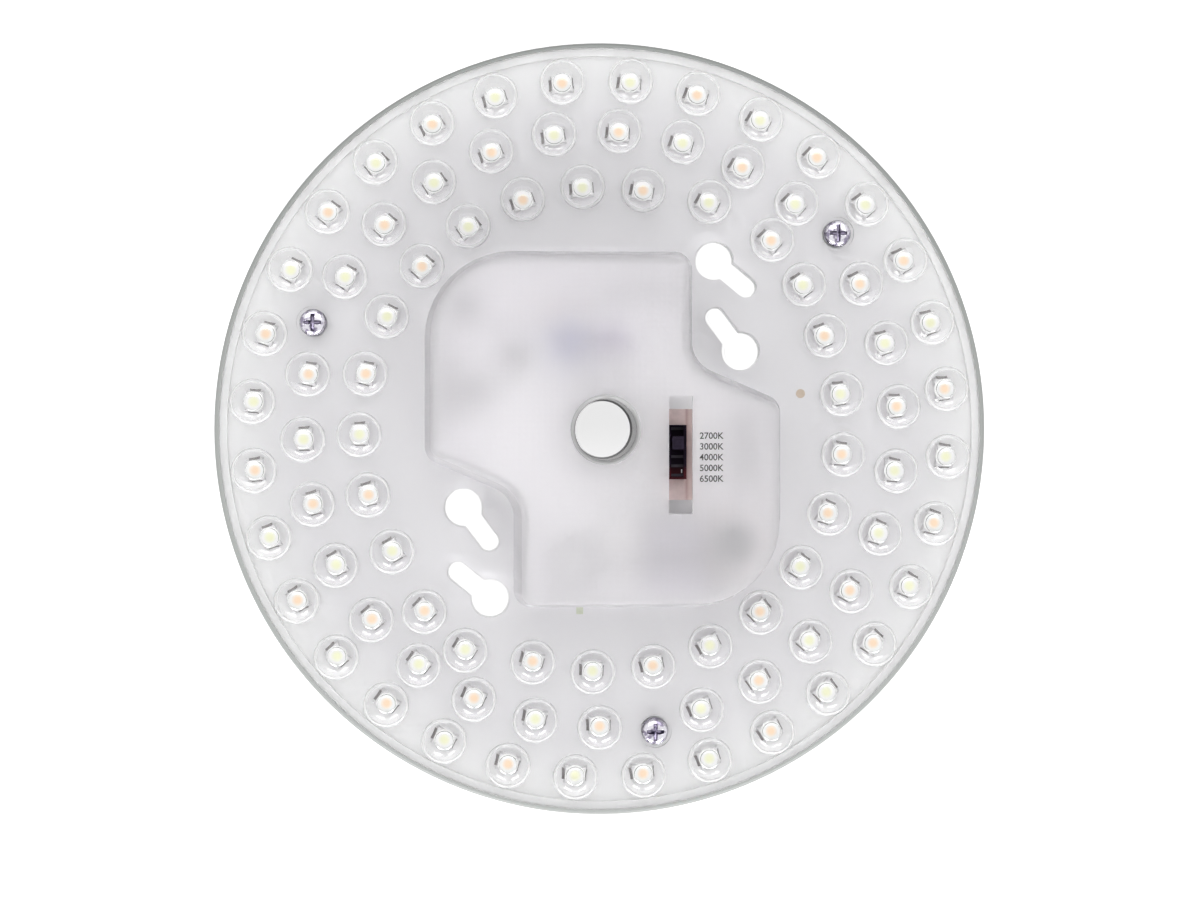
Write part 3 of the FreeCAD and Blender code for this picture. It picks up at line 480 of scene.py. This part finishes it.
def new_object(name, bm, materials, body=BODY, sharp=30.0):
    bmesh.ops.recalc_face_normals(bm, faces=bm.faces)
    mesh = bpy.data.meshes.new(name)
    bm.to_mesh(mesh)
    bm.free()
    for material in materials:
        mesh.materials.append(material)
    for polygon in mesh.polygons:
        polygon.use_smooth = True
    mesh.set_sharp_from_angle(angle=math.radians(sharp))
    piece = bpy.data.objects.new(name, mesh)
    bpy.context.scene.collection.objects.link(piece)
    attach(piece, body)
    return piece


def ring(bm, points, level):
    return [bm.verts.new((x, y, level)) for x, y in points]


def skin(bm, low, high, material=0):
    count = len(low)
    for n in range(count):
        after = (n + 1) % count
        face = bm.faces.new((low[n], low[after], high[after], high[n]))
        face.material_index = material


def fill(bm, rings, material=0):
    """A flat face with holes between an outer ring and the rings inside it."""
    edges = []
    for verts in rings:
        for n, vert in enumerate(verts):
            after = verts[(n + 1) % len(verts)]
            edges.append(bm.edges.get((vert, after)) or bm.edges.new((vert, after)))
    made = bmesh.ops.triangle_fill(bm, use_beauty=True, use_dissolve=False, edges=edges)
    for item in made["geom"]:
        if isinstance(item, bmesh.types.BMFace):
            item.material_index = material


def add_block(bm, centre, extent):
    """A box about a centre."""
    for vert in bmesh.ops.create_cube(bm, size=1.0)["verts"]:
        vert.co = [c + v * e for c, v, e in zip(centre, vert.co, extent)]


def circle(radius, steps, x=0.0, y=0.0):
    turns = [2 * math.pi * n / steps for n in range(steps)]
    return [(x + radius * math.cos(turn), y + radius * math.sin(turn)) for turn in turns]


def stack(bm, profile, steps, x=0.0, y=0.0, material=0, start=None):
    """Rings about an upright axis, joined in turn. Each profile point is (radius, level)."""
    rings = [] if start is None else [start]
    for radius, level in profile:
        rings.append(ring(bm, circle(radius, steps, x, y), level))
    for low, high in zip(rings, rings[1:]):
        skin(bm, low, high, material)
    return rings


def spot(radius, angle):
    return radius * math.cos(angle), radius * math.sin(angle)


def screw_places():
    turns = [math.radians(SCREW_ANGLE + n * ROUND / SCREW_COUNT) for n in range(SCREW_COUNT)]
    return [spot(SCREW_RING, turn) for turn in turns]


def led_places():
    """Each LED as (x, y, angle in radians, warm)."""
    spots = []
    for n in range(OUTER_COUNT):
        spots.append((OUTER_RING, OUTER_FIRST + n * ROUND / OUTER_COUNT, n % 2 == 1))
    for group in range(SCREW_COUNT):
        start = SCREW_ANGLE + MIDDLE_LEAD + group * ROUND / SCREW_COUNT
        for n in range(MIDDLE_RUN):
            place = (group * MIDDLE_RUN + n + MIDDLE_RUN // 2) % (MIDDLE_RUN * SCREW_COUNT)
            spots.append((MIDDLE_RING, start + n * MIDDLE_STEP, place % 2 == 1))
    for n in range(INNER_COUNT):
        radius, angle = MOVED.get(n, (INNER_RING, INNER_FIRST + n * ROUND / INNER_COUNT))
        spots.append((radius, angle, n % 2 == 0))
    places = []
    for radius, angle, warm in spots:
        turn = math.radians(angle)
        places.append((*spot(radius, turn), turn, warm))
    return places


# Lens cover


def rounded(corners, radii):
    """A closed outline whose corners are rounded by arcs."""
    points = []
    count = len(corners)
    for n in range(count):
        before, here, after = (Vector(corners[(n + k) % count]) for k in (-1, 0, 1))
        back = (before - here).normalized()
        ahead = (after - here).normalized()
        half = back.angle(ahead) / 2
        radius = radii[n % len(radii)]
        middle = here + (back + ahead).normalized() * (radius / math.sin(half))
        first = here + back * (radius / math.tan(half))
        last = here + ahead * (radius / math.tan(half))
        a = first - middle
        turn = a.angle_signed(last - middle)
        for k in range(CORNER_STEPS + 1):
            angle = -turn * k / CORNER_STEPS
            x = a.x * math.cos(angle) - a.y * math.sin(angle)
            y = a.x * math.sin(angle) + a.y * math.cos(angle)
            points.append((middle.x + x, middle.y + y))
    return points


def dome_outline(inset, shrink=0.0):
    """The dome's outline moved in by an inset, with its corner radii moved in by shrink."""
    tilt = math.tan(SHOULDER_ANGLE)
    drop = inset / math.cos(SHOULDER_ANGLE)
    half = DOME_HALF - inset
    neck = DOME_NECK - inset
    crook = SHOULDER_Y + inset * tilt - drop
    corner = SHOULDER_Y - (half - DOME_NECK) * tilt - drop
    upper = [(neck, half), (neck, crook), (half, corner), (half, -half)]
    corners = upper + [(-x, -y) for x, y in upper]
    radii = [
        NECK_CORNER - shrink,
        CROOK_CORNER + shrink,
        SHOULDER_CORNER - shrink,
        BIG_CORNER - shrink,
    ]
    return rounded(corners, radii)


def keyhole_outline(slot, head):
    """A round head and a slot with a round end, blended into each other."""
    centre = Vector(head)
    along = (Vector(slot) - centre).normalized()
    side = Vector((-along.y, along.x))
    reach = (Vector(slot) - centre).length
    blend_x = math.sqrt((HEAD_RADIUS + SLOT_BLEND) ** 2 - (SLOT_RADIUS + SLOT_BLEND) ** 2)
    blend_y = SLOT_RADIUS + SLOT_BLEND
    joint = math.atan2(blend_y, blend_x)
    local = []
    for k in range(HEAD_STEPS + 1):
        turn = joint + (2 * math.pi - 2 * joint) * k / HEAD_STEPS
        local.append((HEAD_RADIUS * math.cos(turn), HEAD_RADIUS * math.sin(turn)))
    low = []
    for k in range(1, BLEND_STEPS + 1):
        turn = math.pi - joint + (joint - math.pi / 2) * k / BLEND_STEPS
        x, y = spot(SLOT_BLEND, turn)
        low.append((blend_x + x, -blend_y + y))
    end = []
    for k in range(END_STEPS + 1):
        turn = -math.pi / 2 + math.pi * k / END_STEPS
        end.append((reach + SLOT_RADIUS * math.cos(turn), SLOT_RADIUS * math.sin(turn)))
    high = [(x, -y) for x, y in reversed(low)]
    points = []
    for x, y in local + low + end + high:
        place = centre + along * x + side * y
        points.append((place.x, place.y))
    return points


def keyholes():
    outlines = []
    for radius, turn in ((OUTER_PAIR, OUTER_HEAD_TURN), (INNER_PAIR, INNER_HEAD_TURN)):
        for side in (0.0, math.pi):
            slot = spot(radius, PAIR_ANGLE + side)
            head = spot(radius, PAIR_ANGLE + turn + side)
            outlines.append(keyhole_outline(slot, head))
    return outlines


def arc(centre, radius, start, end, steps):
    """Points of an arc in a profile plane, as (across, level)."""
    points = []
    for k in range(steps + 1):
        turn = start + (end - start) * k / steps
        points.append((centre[0] + radius * math.cos(turn), centre[1] + radius * math.sin(turn)))
    return points


def lens_profile():
    """From the lens's foot over its rolled edge and its crown, short of the middle."""
    profile = arc((LENS_RADIUS - LENS_ROLL, FLANGE_TOP), LENS_ROLL, 0.0, math.pi / 2, ROLL_STEPS)
    easy = math.asin(CROWN_RADIUS / CROWN_BOW)
    centre = FLANGE_TOP + LENS_TALL - CROWN_BOW
    shoulder = CROWN_BOW - CROWN_SHOULDER
    middle = (shoulder * math.sin(easy), centre + shoulder * math.cos(easy))
    start, end = math.pi / 2 - CROWN_STEEPEST, math.pi / 2 - easy
    profile += arc(middle, CROWN_SHOULDER, start, end, SHOULDER_STEPS)
    for share in CROWN_SHARES:
        radius = CROWN_RADIUS * share
        profile.append((radius, centre + math.sqrt(CROWN_BOW**2 - radius**2)))
    return profile


def bubble_profile():
    """The hollow over each LED, from its mouth up, short of the middle."""
    profile = []
    for k in range(BUBBLE_RINGS):
        turn = math.pi / 2 * k / BUBBLE_RINGS
        profile.append((BUBBLE_RADIUS * math.cos(turn), UNDER + BUBBLE_TALL * math.sin(turn)))
    return profile


def add_lenses(bm):
    """Each lens and the hollow under it. Gives the rings that they cut in the plate's two faces."""
    above, below = [], []
    for x, y, _, _ in led_places():
        profile = lens_profile()
        rings = stack(bm, profile[: ROLL_STEPS + 1], LENS_STEPS, x, y, LIP)
        above.append(rings[0])
        rings = stack(bm, profile[ROLL_STEPS + 1 :], LENS_STEPS, x, y, CLEAR, rings[-1])
        bm.faces.new(rings[-1])
        rings = stack(bm, bubble_profile(), BUBBLE_STEPS, x, y)
        below.append(rings[0])
        bm.faces.new(rings[-1])
    return above, below


def add_holes(bm):
    """The keyholes and screw seats. Gives the rings that they cut in the plate's two faces."""
    above, below = [], []
    for outline in keyholes():
        high = ring(bm, outline, FLANGE_TOP)
        low = ring(bm, outline, UNDER)
        skin(bm, low, high)
        above.append(high)
        below.append(low)
    seat = FLANGE_TOP - SEAT_DEEP
    for x, y in screw_places():
        profile = [
            (SEAT_RADIUS, FLANGE_TOP),
            (SEAT_RADIUS, seat),
            (SCREW_HOLE, seat),
            (SCREW_HOLE, UNDER),
        ]
        rings = stack(bm, profile, LENS_STEPS, x, y)
        above.append(rings[0])
        below.append(rings[-1])
    return above, below


def add_skirt(bm):
    """The rim, skirt and ledge as one opaque shell."""
    inside = COVER_RADIUS - SKIRT_WALL
    edge = COVER_RADIUS - SKIRT_SLOPE
    rim = arc((edge - RIM_EDGE, FLANGE_TOP - RIM_EDGE), RIM_EDGE, 0.0, math.pi / 2, ROLL_STEPS)
    outer = [(COVER_RADIUS, SKIRT_FOOT)] + rim + [(inside, FLANGE_TOP)]
    rings = stack(bm, outer, DISC_STEPS, material=RIM)
    inner = [
        (inside, UNDER - PLATE_GAP),
        (inside - LEDGE_WIDTH, UNDER - PLATE_GAP),
        (inside - LEDGE_WIDTH, BOARD_TOP + LEDGE_GAP),
        (inside, BOARD_TOP + LEDGE_GAP),
        (inside, SKIRT_FOOT),
    ]
    foot = stack(bm, inner, DISC_STEPS, material=LEDGE, start=rings[-1])[-1]
    skin(bm, foot, rings[0], LEDGE)


def add_plate_edge(bm):
    """The clear plate's edge just inside the rim. Gives its upper and its lower ring."""
    radius = COVER_RADIUS - SKIRT_WALL - PLATE_GAP
    return stack(bm, [(radius, FLANGE_TOP), (radius, UNDER)], DISC_STEPS, material=LEDGE)


def add_dome(bm):
    """The driver dome with its window and sleeve. Gives its rings in the plate's two faces."""
    edge = DOME_TOP - DOME_EDGE
    middle = (edge - FLANGE_TOP) * math.tan(DRAFT) + DOME_EDGE / math.cos(DRAFT)
    outer = [ring(bm, dome_outline(0.0), FLANGE_TOP)]
    for inset, level in arc((-middle, edge), DOME_EDGE, DRAFT, math.pi / 2, EDGE_STEPS):
        outer.append(ring(bm, dome_outline(-inset, -inset), level))
    for low, high in zip(outer, outer[1:]):
        skin(bm, low, high, FROSTED)
    wall = LENS_WALL / math.cos(DRAFT)
    lean = (ROOF - UNDER) * math.tan(DRAFT)
    core_low = ring(bm, dome_outline(wall, LENS_WALL), UNDER)
    core_high = ring(bm, dome_outline(wall + lean, LENS_WALL + lean), ROOF)
    skin(bm, core_low, core_high, FROSTED)

    left, right = WINDOW_X - WINDOW_WIDE / 2, WINDOW_X + WINDOW_WIDE / 2
    lower, upper = WINDOW_Y - WINDOW_LONG / 2, WINDOW_Y + WINDOW_LONG / 2
    window = [(left, lower), (right, lower), (right, upper), (left, upper)]
    window_high = ring(bm, window, DOME_TOP)
    window_low = ring(bm, window, ROOF)
    skin(bm, window_low, window_high, FROSTED)

    centre = (BORE_RADIUS + BORE_LIP, DOME_TOP - BORE_LIP)
    lip = arc(centre, BORE_LIP, math.pi / 2, math.pi, EDGE_STEPS)
    bore = stack(bm, lip[:-1], BORE_STEPS, material=LIP)
    inner = [lip[-1], (BORE_RADIUS, SLEEVE_FOOT)]
    sleeve = stack(bm, inner, BORE_STEPS, material=BORE, start=bore[-1])
    outside = [(SLEEVE_RADIUS, SLEEVE_FOOT), (SLEEVE_RADIUS, ROOF)]
    sleeve = stack(bm, outside, BORE_STEPS, material=FROSTED, start=sleeve[-1])

    fill(bm, [outer[-1], bore[0], window_high], FROSTED)
    fill(bm, [core_high, sleeve[-1], window_low], FROSTED)
    return outer[0], core_low


def make_cover():
    bm = bmesh.new()
    lenses_above, lenses_below = add_lenses(bm)
    holes_above, holes_below = add_holes(bm)
    add_skirt(bm)
    edge_above, edge_below = add_plate_edge(bm)
    dome_above, dome_below = add_dome(bm)
    fill(bm, [edge_above, dome_above] + lenses_above + holes_above)
    fill(bm, [edge_below, dome_below] + lenses_below + holes_below)
    slots = [
        clear_plastic(),
        frosted_plastic(),
        rim_plastic(),
        # The bore's wall is clear plastic painted near-black: painted shade inside the sleeve
        toned_plastic("bore_painted_shade", 250.0, BORE_SHADE_TONES, Roughness=0.25),
        lip_plastic(),
        plain_surface("ledge_plastic", (0.93, 0.93, 0.93), (0.96, 0.96, 0.96), 0.5),
    ]
    piece = new_object("lens_cover_moulding", bm, slots)
    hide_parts("lens_cover")


# LEDs


def local_frame(x, y, turn):
    return Matrix.Translation((x, y, 0.0)) @ Matrix.Rotation(turn, 4, "Z")


def make_led_faces(tone, warm, material):
    """A round phosphor face on each LED of one tone, instead of the CAD model's block."""
    bm = bmesh.new()
    reach = bm.verts.layers.float.new("reach")
    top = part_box(tone + "_led_packages")[1][2]
    for x, y, _, is_warm in led_places():
        if is_warm != warm:
            continue
        rings = []
        for share in LED_FACE_SHARES:
            level = top + LED_FACE_TALL * math.sqrt(1.0 - share**2)
            verts = ring(bm, circle(LED_FACE_RADIUS * share, FACE_STEPS, x, y), level)
            for vert in verts:
                vert[reach] = share
            rings.append(verts)
        for low, high in zip(rings, rings[1:]):
            skin(bm, low, high)
        bm.faces.new(rings[-1])
        bm.faces.new(rings[0][::-1])
    piece = new_object(tone + "_led_faces", bm, [material])
    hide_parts(tone + "_led_phosphor")


def make_solder(material):
    """A sloped solder joint at both ends of each LED."""
    bm = bmesh.new()
    for x, y, turn, _ in led_places():
        for side in (-1.0, 1.0):
            facing = math.cos(turn) * SOLDER_MARK[0] + math.sin(turn) * SOLDER_MARK[1]
            near = side * LED_HALF
            far = near + side * (SOLDER_LONG if side * facing > 0 else SOLDER_SHORT)
            place = local_frame(x, y, turn)
            corners = [
                (-SOLDER_HALF, near, BOARD_TOP),
                (SOLDER_HALF, near, BOARD_TOP),
                (SOLDER_HALF, far, BOARD_TOP),
                (-SOLDER_HALF, far, BOARD_TOP),
                (-SOLDER_HALF, near, BOARD_TOP + SOLDER_TALL),
                (SOLDER_HALF, near, BOARD_TOP + SOLDER_TALL),
            ]
            verts = [bm.verts.new(place @ Vector(corner)) for corner in corners]
            for loop in ((0, 1, 2, 3), (4, 5, 1, 0), (3, 2, 5, 4), (0, 3, 4), (1, 5, 2)):
                bm.faces.new([verts[k] for k in loop])
    piece = new_object("led_solder_joints", bm, [material])


# Cover screws


def make_screws(material):
    """Pan heads with a tapered cross recess, pressed into a fine polar grid."""
    bm = bmesh.new()
    foot = FLANGE_TOP - SEAT_DEEP
    low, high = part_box("cover_screws")
    tall = high[2] - foot
    for x, y in screw_places():
        rings = stack(bm, [(SHANK_RADIUS, low[2]), (SHANK_RADIUS, foot)], SCREW_STEPS, x, y)
        bm.faces.new(rings[0][::-1])
        before = rings[-1]
        for k in range(SCREW_RINGS + 1):
            share = 1.0 - (1.0 - HEAD_MIDDLE) * k / SCREW_RINGS
            verts = []
            for step in range(SCREW_STEPS):
                angle = 2 * math.pi * step / SCREW_STEPS
                across, along = spot(SCREW_HEAD * share, angle)
                level = foot + tall * (1.0 - share**HEAD_POWER) ** (1 / HEAD_POWER)
                level -= recess_depth(across, along)
                verts.append(bm.verts.new((x + across, y + along, max(level, foot))))
            skin(bm, before, verts)
            before = verts
        bm.faces.new(before)
        # Faces down in the cross and in a ring at the head's edge get darker plating: painted shade
        for face in bm.faces:
            place = face.calc_center_median() - Vector((x, y, 0.0))
            share = place.xy.length / SCREW_HEAD
            recessed = recess_depth(place.x, place.y) > CROSS_SHADE
            if share < 1.0 and (recessed or share > EDGE_SHARE):
                face.material_index = 1
    shade = chrome("screw_recess_shade", CHROME_DARK, CHROME_MIDDLE)
    piece = new_object("cover_screw_heads", bm, [material, shade], sharp=50.0)
    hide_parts("cover_screws")


def recess_depth(across, along):
    """How deep the cross is at a place on the head."""
    reach = max(abs(across), abs(along))
    width = min(abs(across), abs(along))
    side = min(1.0, max(0.0, (CROSS_HALF - width) / CROSS_EDGE))
    end = min(1.0, max(0.0, (CROSS_REACH - reach) / CROSS_EDGE))
    return CROSS_DEEP * side * end * (1.0 - CROSS_TAPER * reach / CROSS_REACH)


# Colour switch


def make_knob(material):
    """The slide's knob with softened edges and grip ribs."""
    low, high = (Vector(corner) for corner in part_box("switch_knob"))
    middle = (low + high) / 2
    size = high - low
    bm = bmesh.new()
    add_block(bm, middle, (STEM_WIDE, size.y, size.z - RIB_STAND))
    add_block(bm, (middle.x, middle.y, low.z + BASE_TALL / 2), (size.x, size.y, BASE_TALL))
    for n in range(RIB_COUNT):
        rib_y = middle.y + (n - (RIB_COUNT - 1) / 2) * RIB_PITCH
        add_block(bm, (middle.x, rib_y, high.z - RIB_SIZE[2] / 2), RIB_SIZE)
    edge = {"offset": KNOB_EDGE, "segments": 2, "affect": "EDGES", "clamp_overlap": True}
    bmesh.ops.bevel(bm, geom=list(bm.edges), **edge)
    piece = new_object("switch_knob_cap", bm, [material], body=SLIDER)
    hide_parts("switch_knob")


def make_contact_pads(material):
    """Two bright contacts on the switch's floor, seen through its slot."""
    bm = bmesh.new()
    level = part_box("switch_wiper")[0][2] + PAD_TALL / 2
    for x in PAD_XS:
        add_block(bm, (x, PAD_Y, level), (PAD_WIDE, PAD_LONG, PAD_TALL))
    piece = new_object("switch_contact_pads", bm, [material])


# Pads on the board and print on the dome


def make_board_pads(tan, green):
    """The round and the square test pad that show between the LEDs and the dome."""
    bm = bmesh.new()
    profile = [(TAN_RADIUS, BOARD_TOP), (TAN_RADIUS, BOARD_TOP + PAD_TALL)]
    rings = stack(bm, profile, FACE_STEPS, *TAN_PAD)
    bm.faces.new(rings[-1])
    bm.faces.new(rings[0][::-1])
    piece = new_object("round_test_pad", bm, [tan])
    bm = bmesh.new()
    add_block(bm, (*GREEN_PAD, BOARD_TOP + PAD_TALL / 2), (GREEN_WIDE, GREEN_WIDE, PAD_TALL))
    piece = new_object("square_test_pad", bm, [green])


def make_labels(material):
    """The colour temperatures printed on the dome beside the switch."""
    bm = bmesh.new()
    for n, words in enumerate(LABELS):
        curve = bpy.data.curves.new("label", "FONT")
        curve.body = words
        curve.size = LABEL_TALL / FONT_CAP
        curve.align_x = "CENTER"
        curve.align_y = "CENTER"
        curve.extrude = PRINT_THICK / 2
        curve.offset = PRINT_BOLD
        holder = bpy.data.objects.new("label", curve)
        mesh = bpy.data.meshes.new_from_object(holder)
        place = (LABEL_X, LABEL_Y - n * LABEL_PITCH, DOME_TOP)
        mesh.transform(Matrix.Translation(place))
        bm.from_mesh(mesh)
        bpy.data.objects.remove(holder)
    piece = new_object("colour_scale_print", bm, [material])


# Camera, lights and floor


def look_at(item, target, up=(0.0, 1.0, 0.0)):
    """Turns an item at its place so that it looks at the target with up upwards in its view."""
    back = (Vector(item.location) - Vector(target)).normalized()
    right = Vector(up).cross(back).normalized()
    over = back.cross(right)
    turn = Matrix((right, over, back)).transposed()
    item.rotation_euler = turn.to_euler()


def make_camera():
    data = bpy.data.cameras.new("camera")
    data.sensor_width = SENSOR_WIDTH
    data.lens = CAMERA_FOCUS / PHOTO_WIDTH * data.sensor_width
    data.shift_x, data.shift_y = (shift / PHOTO_WIDTH for shift in CAMERA_SHIFT)
    camera = bpy.data.objects.new("camera", data)
    camera.location = CAMERA_PLACE
    look_at(camera, CAMERA_TARGET)
    bpy.context.scene.collection.objects.link(camera)
    bpy.context.scene.camera = camera


def softbox(name, place, wide, tall, watts):
    data = bpy.data.lights.new(name, "AREA")
    data.shape = "RECTANGLE"
    data.size = wide
    data.size_y = tall
    data.energy = watts
    lamp = bpy.data.objects.new(name, data)
    lamp.location = place
    look_at(lamp, (0.0, 0.0, 0.0), up=(0.0, 0.0, 1.0))
    bpy.context.scene.collection.objects.link(lamp)


def white_for_views(tree):
    """1 for rays from the camera and for those that glass and gloss send on."""
    path = tree.nodes.new("ShaderNodeLightPath")
    total = None
    for name in ("Is Camera Ray", "Is Glossy Ray", "Is Transmission Ray"):
        if total is None:
            total = path.outputs[name]
            continue
        add = tree.nodes.new("ShaderNodeMath")
        add.operation = "MAXIMUM"
        tree.links.new(total, add.inputs[0])
        tree.links.new(path.outputs[name], add.inputs[1])
        total = add.outputs[0]
    return total


def make_world():
    world = bpy.data.worlds.new("studio")
    bpy.context.scene.world = world
    world.use_nodes = True
    tree = world.node_tree
    tree.nodes.clear()
    views = white_for_views(tree)
    seen = tree.nodes.new("ShaderNodeBackground")
    seen.inputs["Color"].default_value = WHITE
    light = tree.nodes.new("ShaderNodeBackground")
    light.inputs["Color"].default_value = WHITE
    light.inputs["Strength"].default_value = WORLD_LIGHT
    mix = tree.nodes.new("ShaderNodeMixShader")
    out = tree.nodes.new("ShaderNodeOutputWorld")
    tree.links.new(views, mix.inputs["Fac"])
    tree.links.new(light.outputs[0], mix.inputs[1])
    tree.links.new(seen.outputs[0], mix.inputs[2])
    tree.links.new(mix.outputs[0], out.inputs["Surface"])


def make_floor():
    bm = bmesh.new()
    corners = [(x * FLOOR_HALF, y * FLOOR_HALF) for x, y in ((-1, -1), (1, -1), (1, 1), (-1, 1))]
    bm.faces.new(ring(bm, corners, FLOOR_LEVEL))
    mesh = bpy.data.meshes.new("floor")
    bm.to_mesh(mesh)
    bm.free()
    floor = bpy.data.objects.new("floor", mesh)
    bpy.context.scene.collection.objects.link(floor)
    material, tree, shader = new_material("floor_white")
    set_shader(shader, Base_Color=FLOOR_GREY, Roughness=0.9)
    glow = tree.nodes.new("ShaderNodeEmission")
    strength = math_node(tree, "MULTIPLY", white_for_views(tree), FLOOR_GLOW)
    tree.links.new(strength, glow.inputs["Strength"])
    add = tree.nodes.new("ShaderNodeAddShader")
    tree.links.new(shader.outputs[0], add.inputs[0])
    tree.links.new(glow.outputs[0], add.inputs[1])
    tree.links.new(add.outputs[0], tree.nodes["Material Output"].inputs["Surface"])
    floor.data.materials.append(material)


def make_materials():
    """Gives each node of the CAD model its material. The new pieces share some of them."""
    white = plain_surface("plate_enamel", (0.86, 0.86, 0.86), (0.9, 0.9, 0.9), 0.35)
    mask = board_mask()
    steel = chrome("screw_steel", CHROME_MIDDLE, CHROME_PALE)
    package = plain_surface("led_white", (0.7, 0.69, 0.7), (0.76, 0.75, 0.76), 0.45)
    warm = phosphor("phosphor_warm", WARM_TONE)
    cool = phosphor("phosphor_cool", COOL_TONE)
    rubber = plain_surface("grommet_rubber", (0.1, 0.1, 0.11), (0.16, 0.16, 0.17), 0.75)
    pale = plain_surface("terminal_plastic", (0.72, 0.72, 0.7), (0.8, 0.8, 0.78), 0.5)
    tin = plain_surface("tinned_metal", (0.6, 0.6, 0.61), (0.76, 0.76, 0.77), 0.28, 1.0)
    tube = plain_surface("fuse_tube", (0.8, 0.8, 0.77), (0.87, 0.87, 0.84), 0.35)
    blue = plain_surface("varistor_blue", (0.16, 0.17, 0.36), (0.22, 0.23, 0.44), 0.4)
    violet = plain_surface("film_violet", (0.3, 0.25, 0.38), (0.38, 0.32, 0.46), 0.35)
    chip = plain_surface("chip_black", (0.025, 0.025, 0.028), (0.05, 0.05, 0.055), 0.6)
    ferrite = plain_surface("ferrite", (0.05, 0.05, 0.055), (0.09, 0.09, 0.095), 0.65)
    copper = plain_surface("copper_wire", (0.5, 0.22, 0.09), (0.66, 0.32, 0.15), 0.35, 0.8)
    can = plain_surface("can_sleeve", (0.3, 0.28, 0.33), (0.38, 0.36, 0.42), 0.3)
    resistor = plain_surface("resistor_black", (0.03, 0.03, 0.03), (0.07, 0.07, 0.07), 0.35)
    tan = plain_surface("capacitor_tan", (0.36, 0.24, 0.14), (0.45, 0.31, 0.19), 0.5)
    brown = riser_laminate()
    black = plain_surface("header_black", (0.03, 0.03, 0.03), (0.06, 0.06, 0.06), 0.6)
    brass = plain_surface("pin_brass", (0.62, 0.44, 0.18), (0.76, 0.56, 0.27), 0.28, 1.0)
    # The switch's terminals are tinned metal painted near-black: painted shade inside the housing
    shaded_contacts = plain_surface("switch_contacts_in_shade", (0.02, 0.014, 0.024), (0.04, 0.03, 0.05), 0.6)
    switch = switch_plastic()
    knob = toned_plastic(
        "knob_plastic", 900.0, KNOB_TONES, Roughness=0.5, Specular_IOR_Level=0.15
    )
    by_node = {
        "base_plate": white,
        "led_board": mask,
        "cover_screws": steel,
        "warm_led_packages": package,
        "cool_led_packages": package,
        "warm_led_phosphor": warm,
        "cool_led_phosphor": cool,
        "wire_grommet": rubber,
        "terminal_block": pale,
        "supply_terminals": tin,
        "supply_fuse": tube,
        "fuse_caps": tin,
        "varistor": blue,
        "varistor_leads": tin,
        "filter_capacitor": violet,
        "bridge_rectifier": chip,
        "choke_core": ferrite,
        "choke_winding": copper,
        "reservoir_capacitors": can,
        "driver_chips": chip,
        "diodes": chip,
        "chip_resistors": resistor,
        "chip_capacitors": tan,
        "switch_riser_board": brown,
        "riser_headers": black,
        "riser_pins": brass,
        "switch_housing": switch,
        "switch_terminals": shaded_contacts,
        "switch_knob": knob,
        "switch_wiper": brass,
    }
    for node, material in by_node.items():
        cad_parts[node].material_slots[0].material = material
    return by_node


materials = make_materials()
make_cover()
make_labels(materials["riser_headers"])
make_led_faces("warm", True, materials["warm_led_phosphor"])
make_led_faces("cool", False, materials["cool_led_phosphor"])
make_solder(plain_surface("solder_grey", (0.2, 0.18, 0.18), (0.32, 0.3, 0.3), 0.45, 0.5))
make_screws(materials["cover_screws"])
make_knob(materials["switch_knob"])
make_contact_pads(materials["fuse_caps"])
make_board_pads(
    plain_surface("tan_pad", (0.6, 0.48, 0.36), (0.68, 0.56, 0.44), 0.5),
    plain_surface("green_pad", (0.62, 0.66, 0.52), (0.7, 0.73, 0.6), 0.5),
)
make_camera()
make_world()
make_floor()
softbox("top_box", **TOP_BOX)
for side in (-1.0, 1.0):
    softbox("low_box", (side * LOW_PLACE[0], *LOW_PLACE[1:]), **LOW_BOX)
bpy.context.scene.view_settings.view_transform = "Standard"
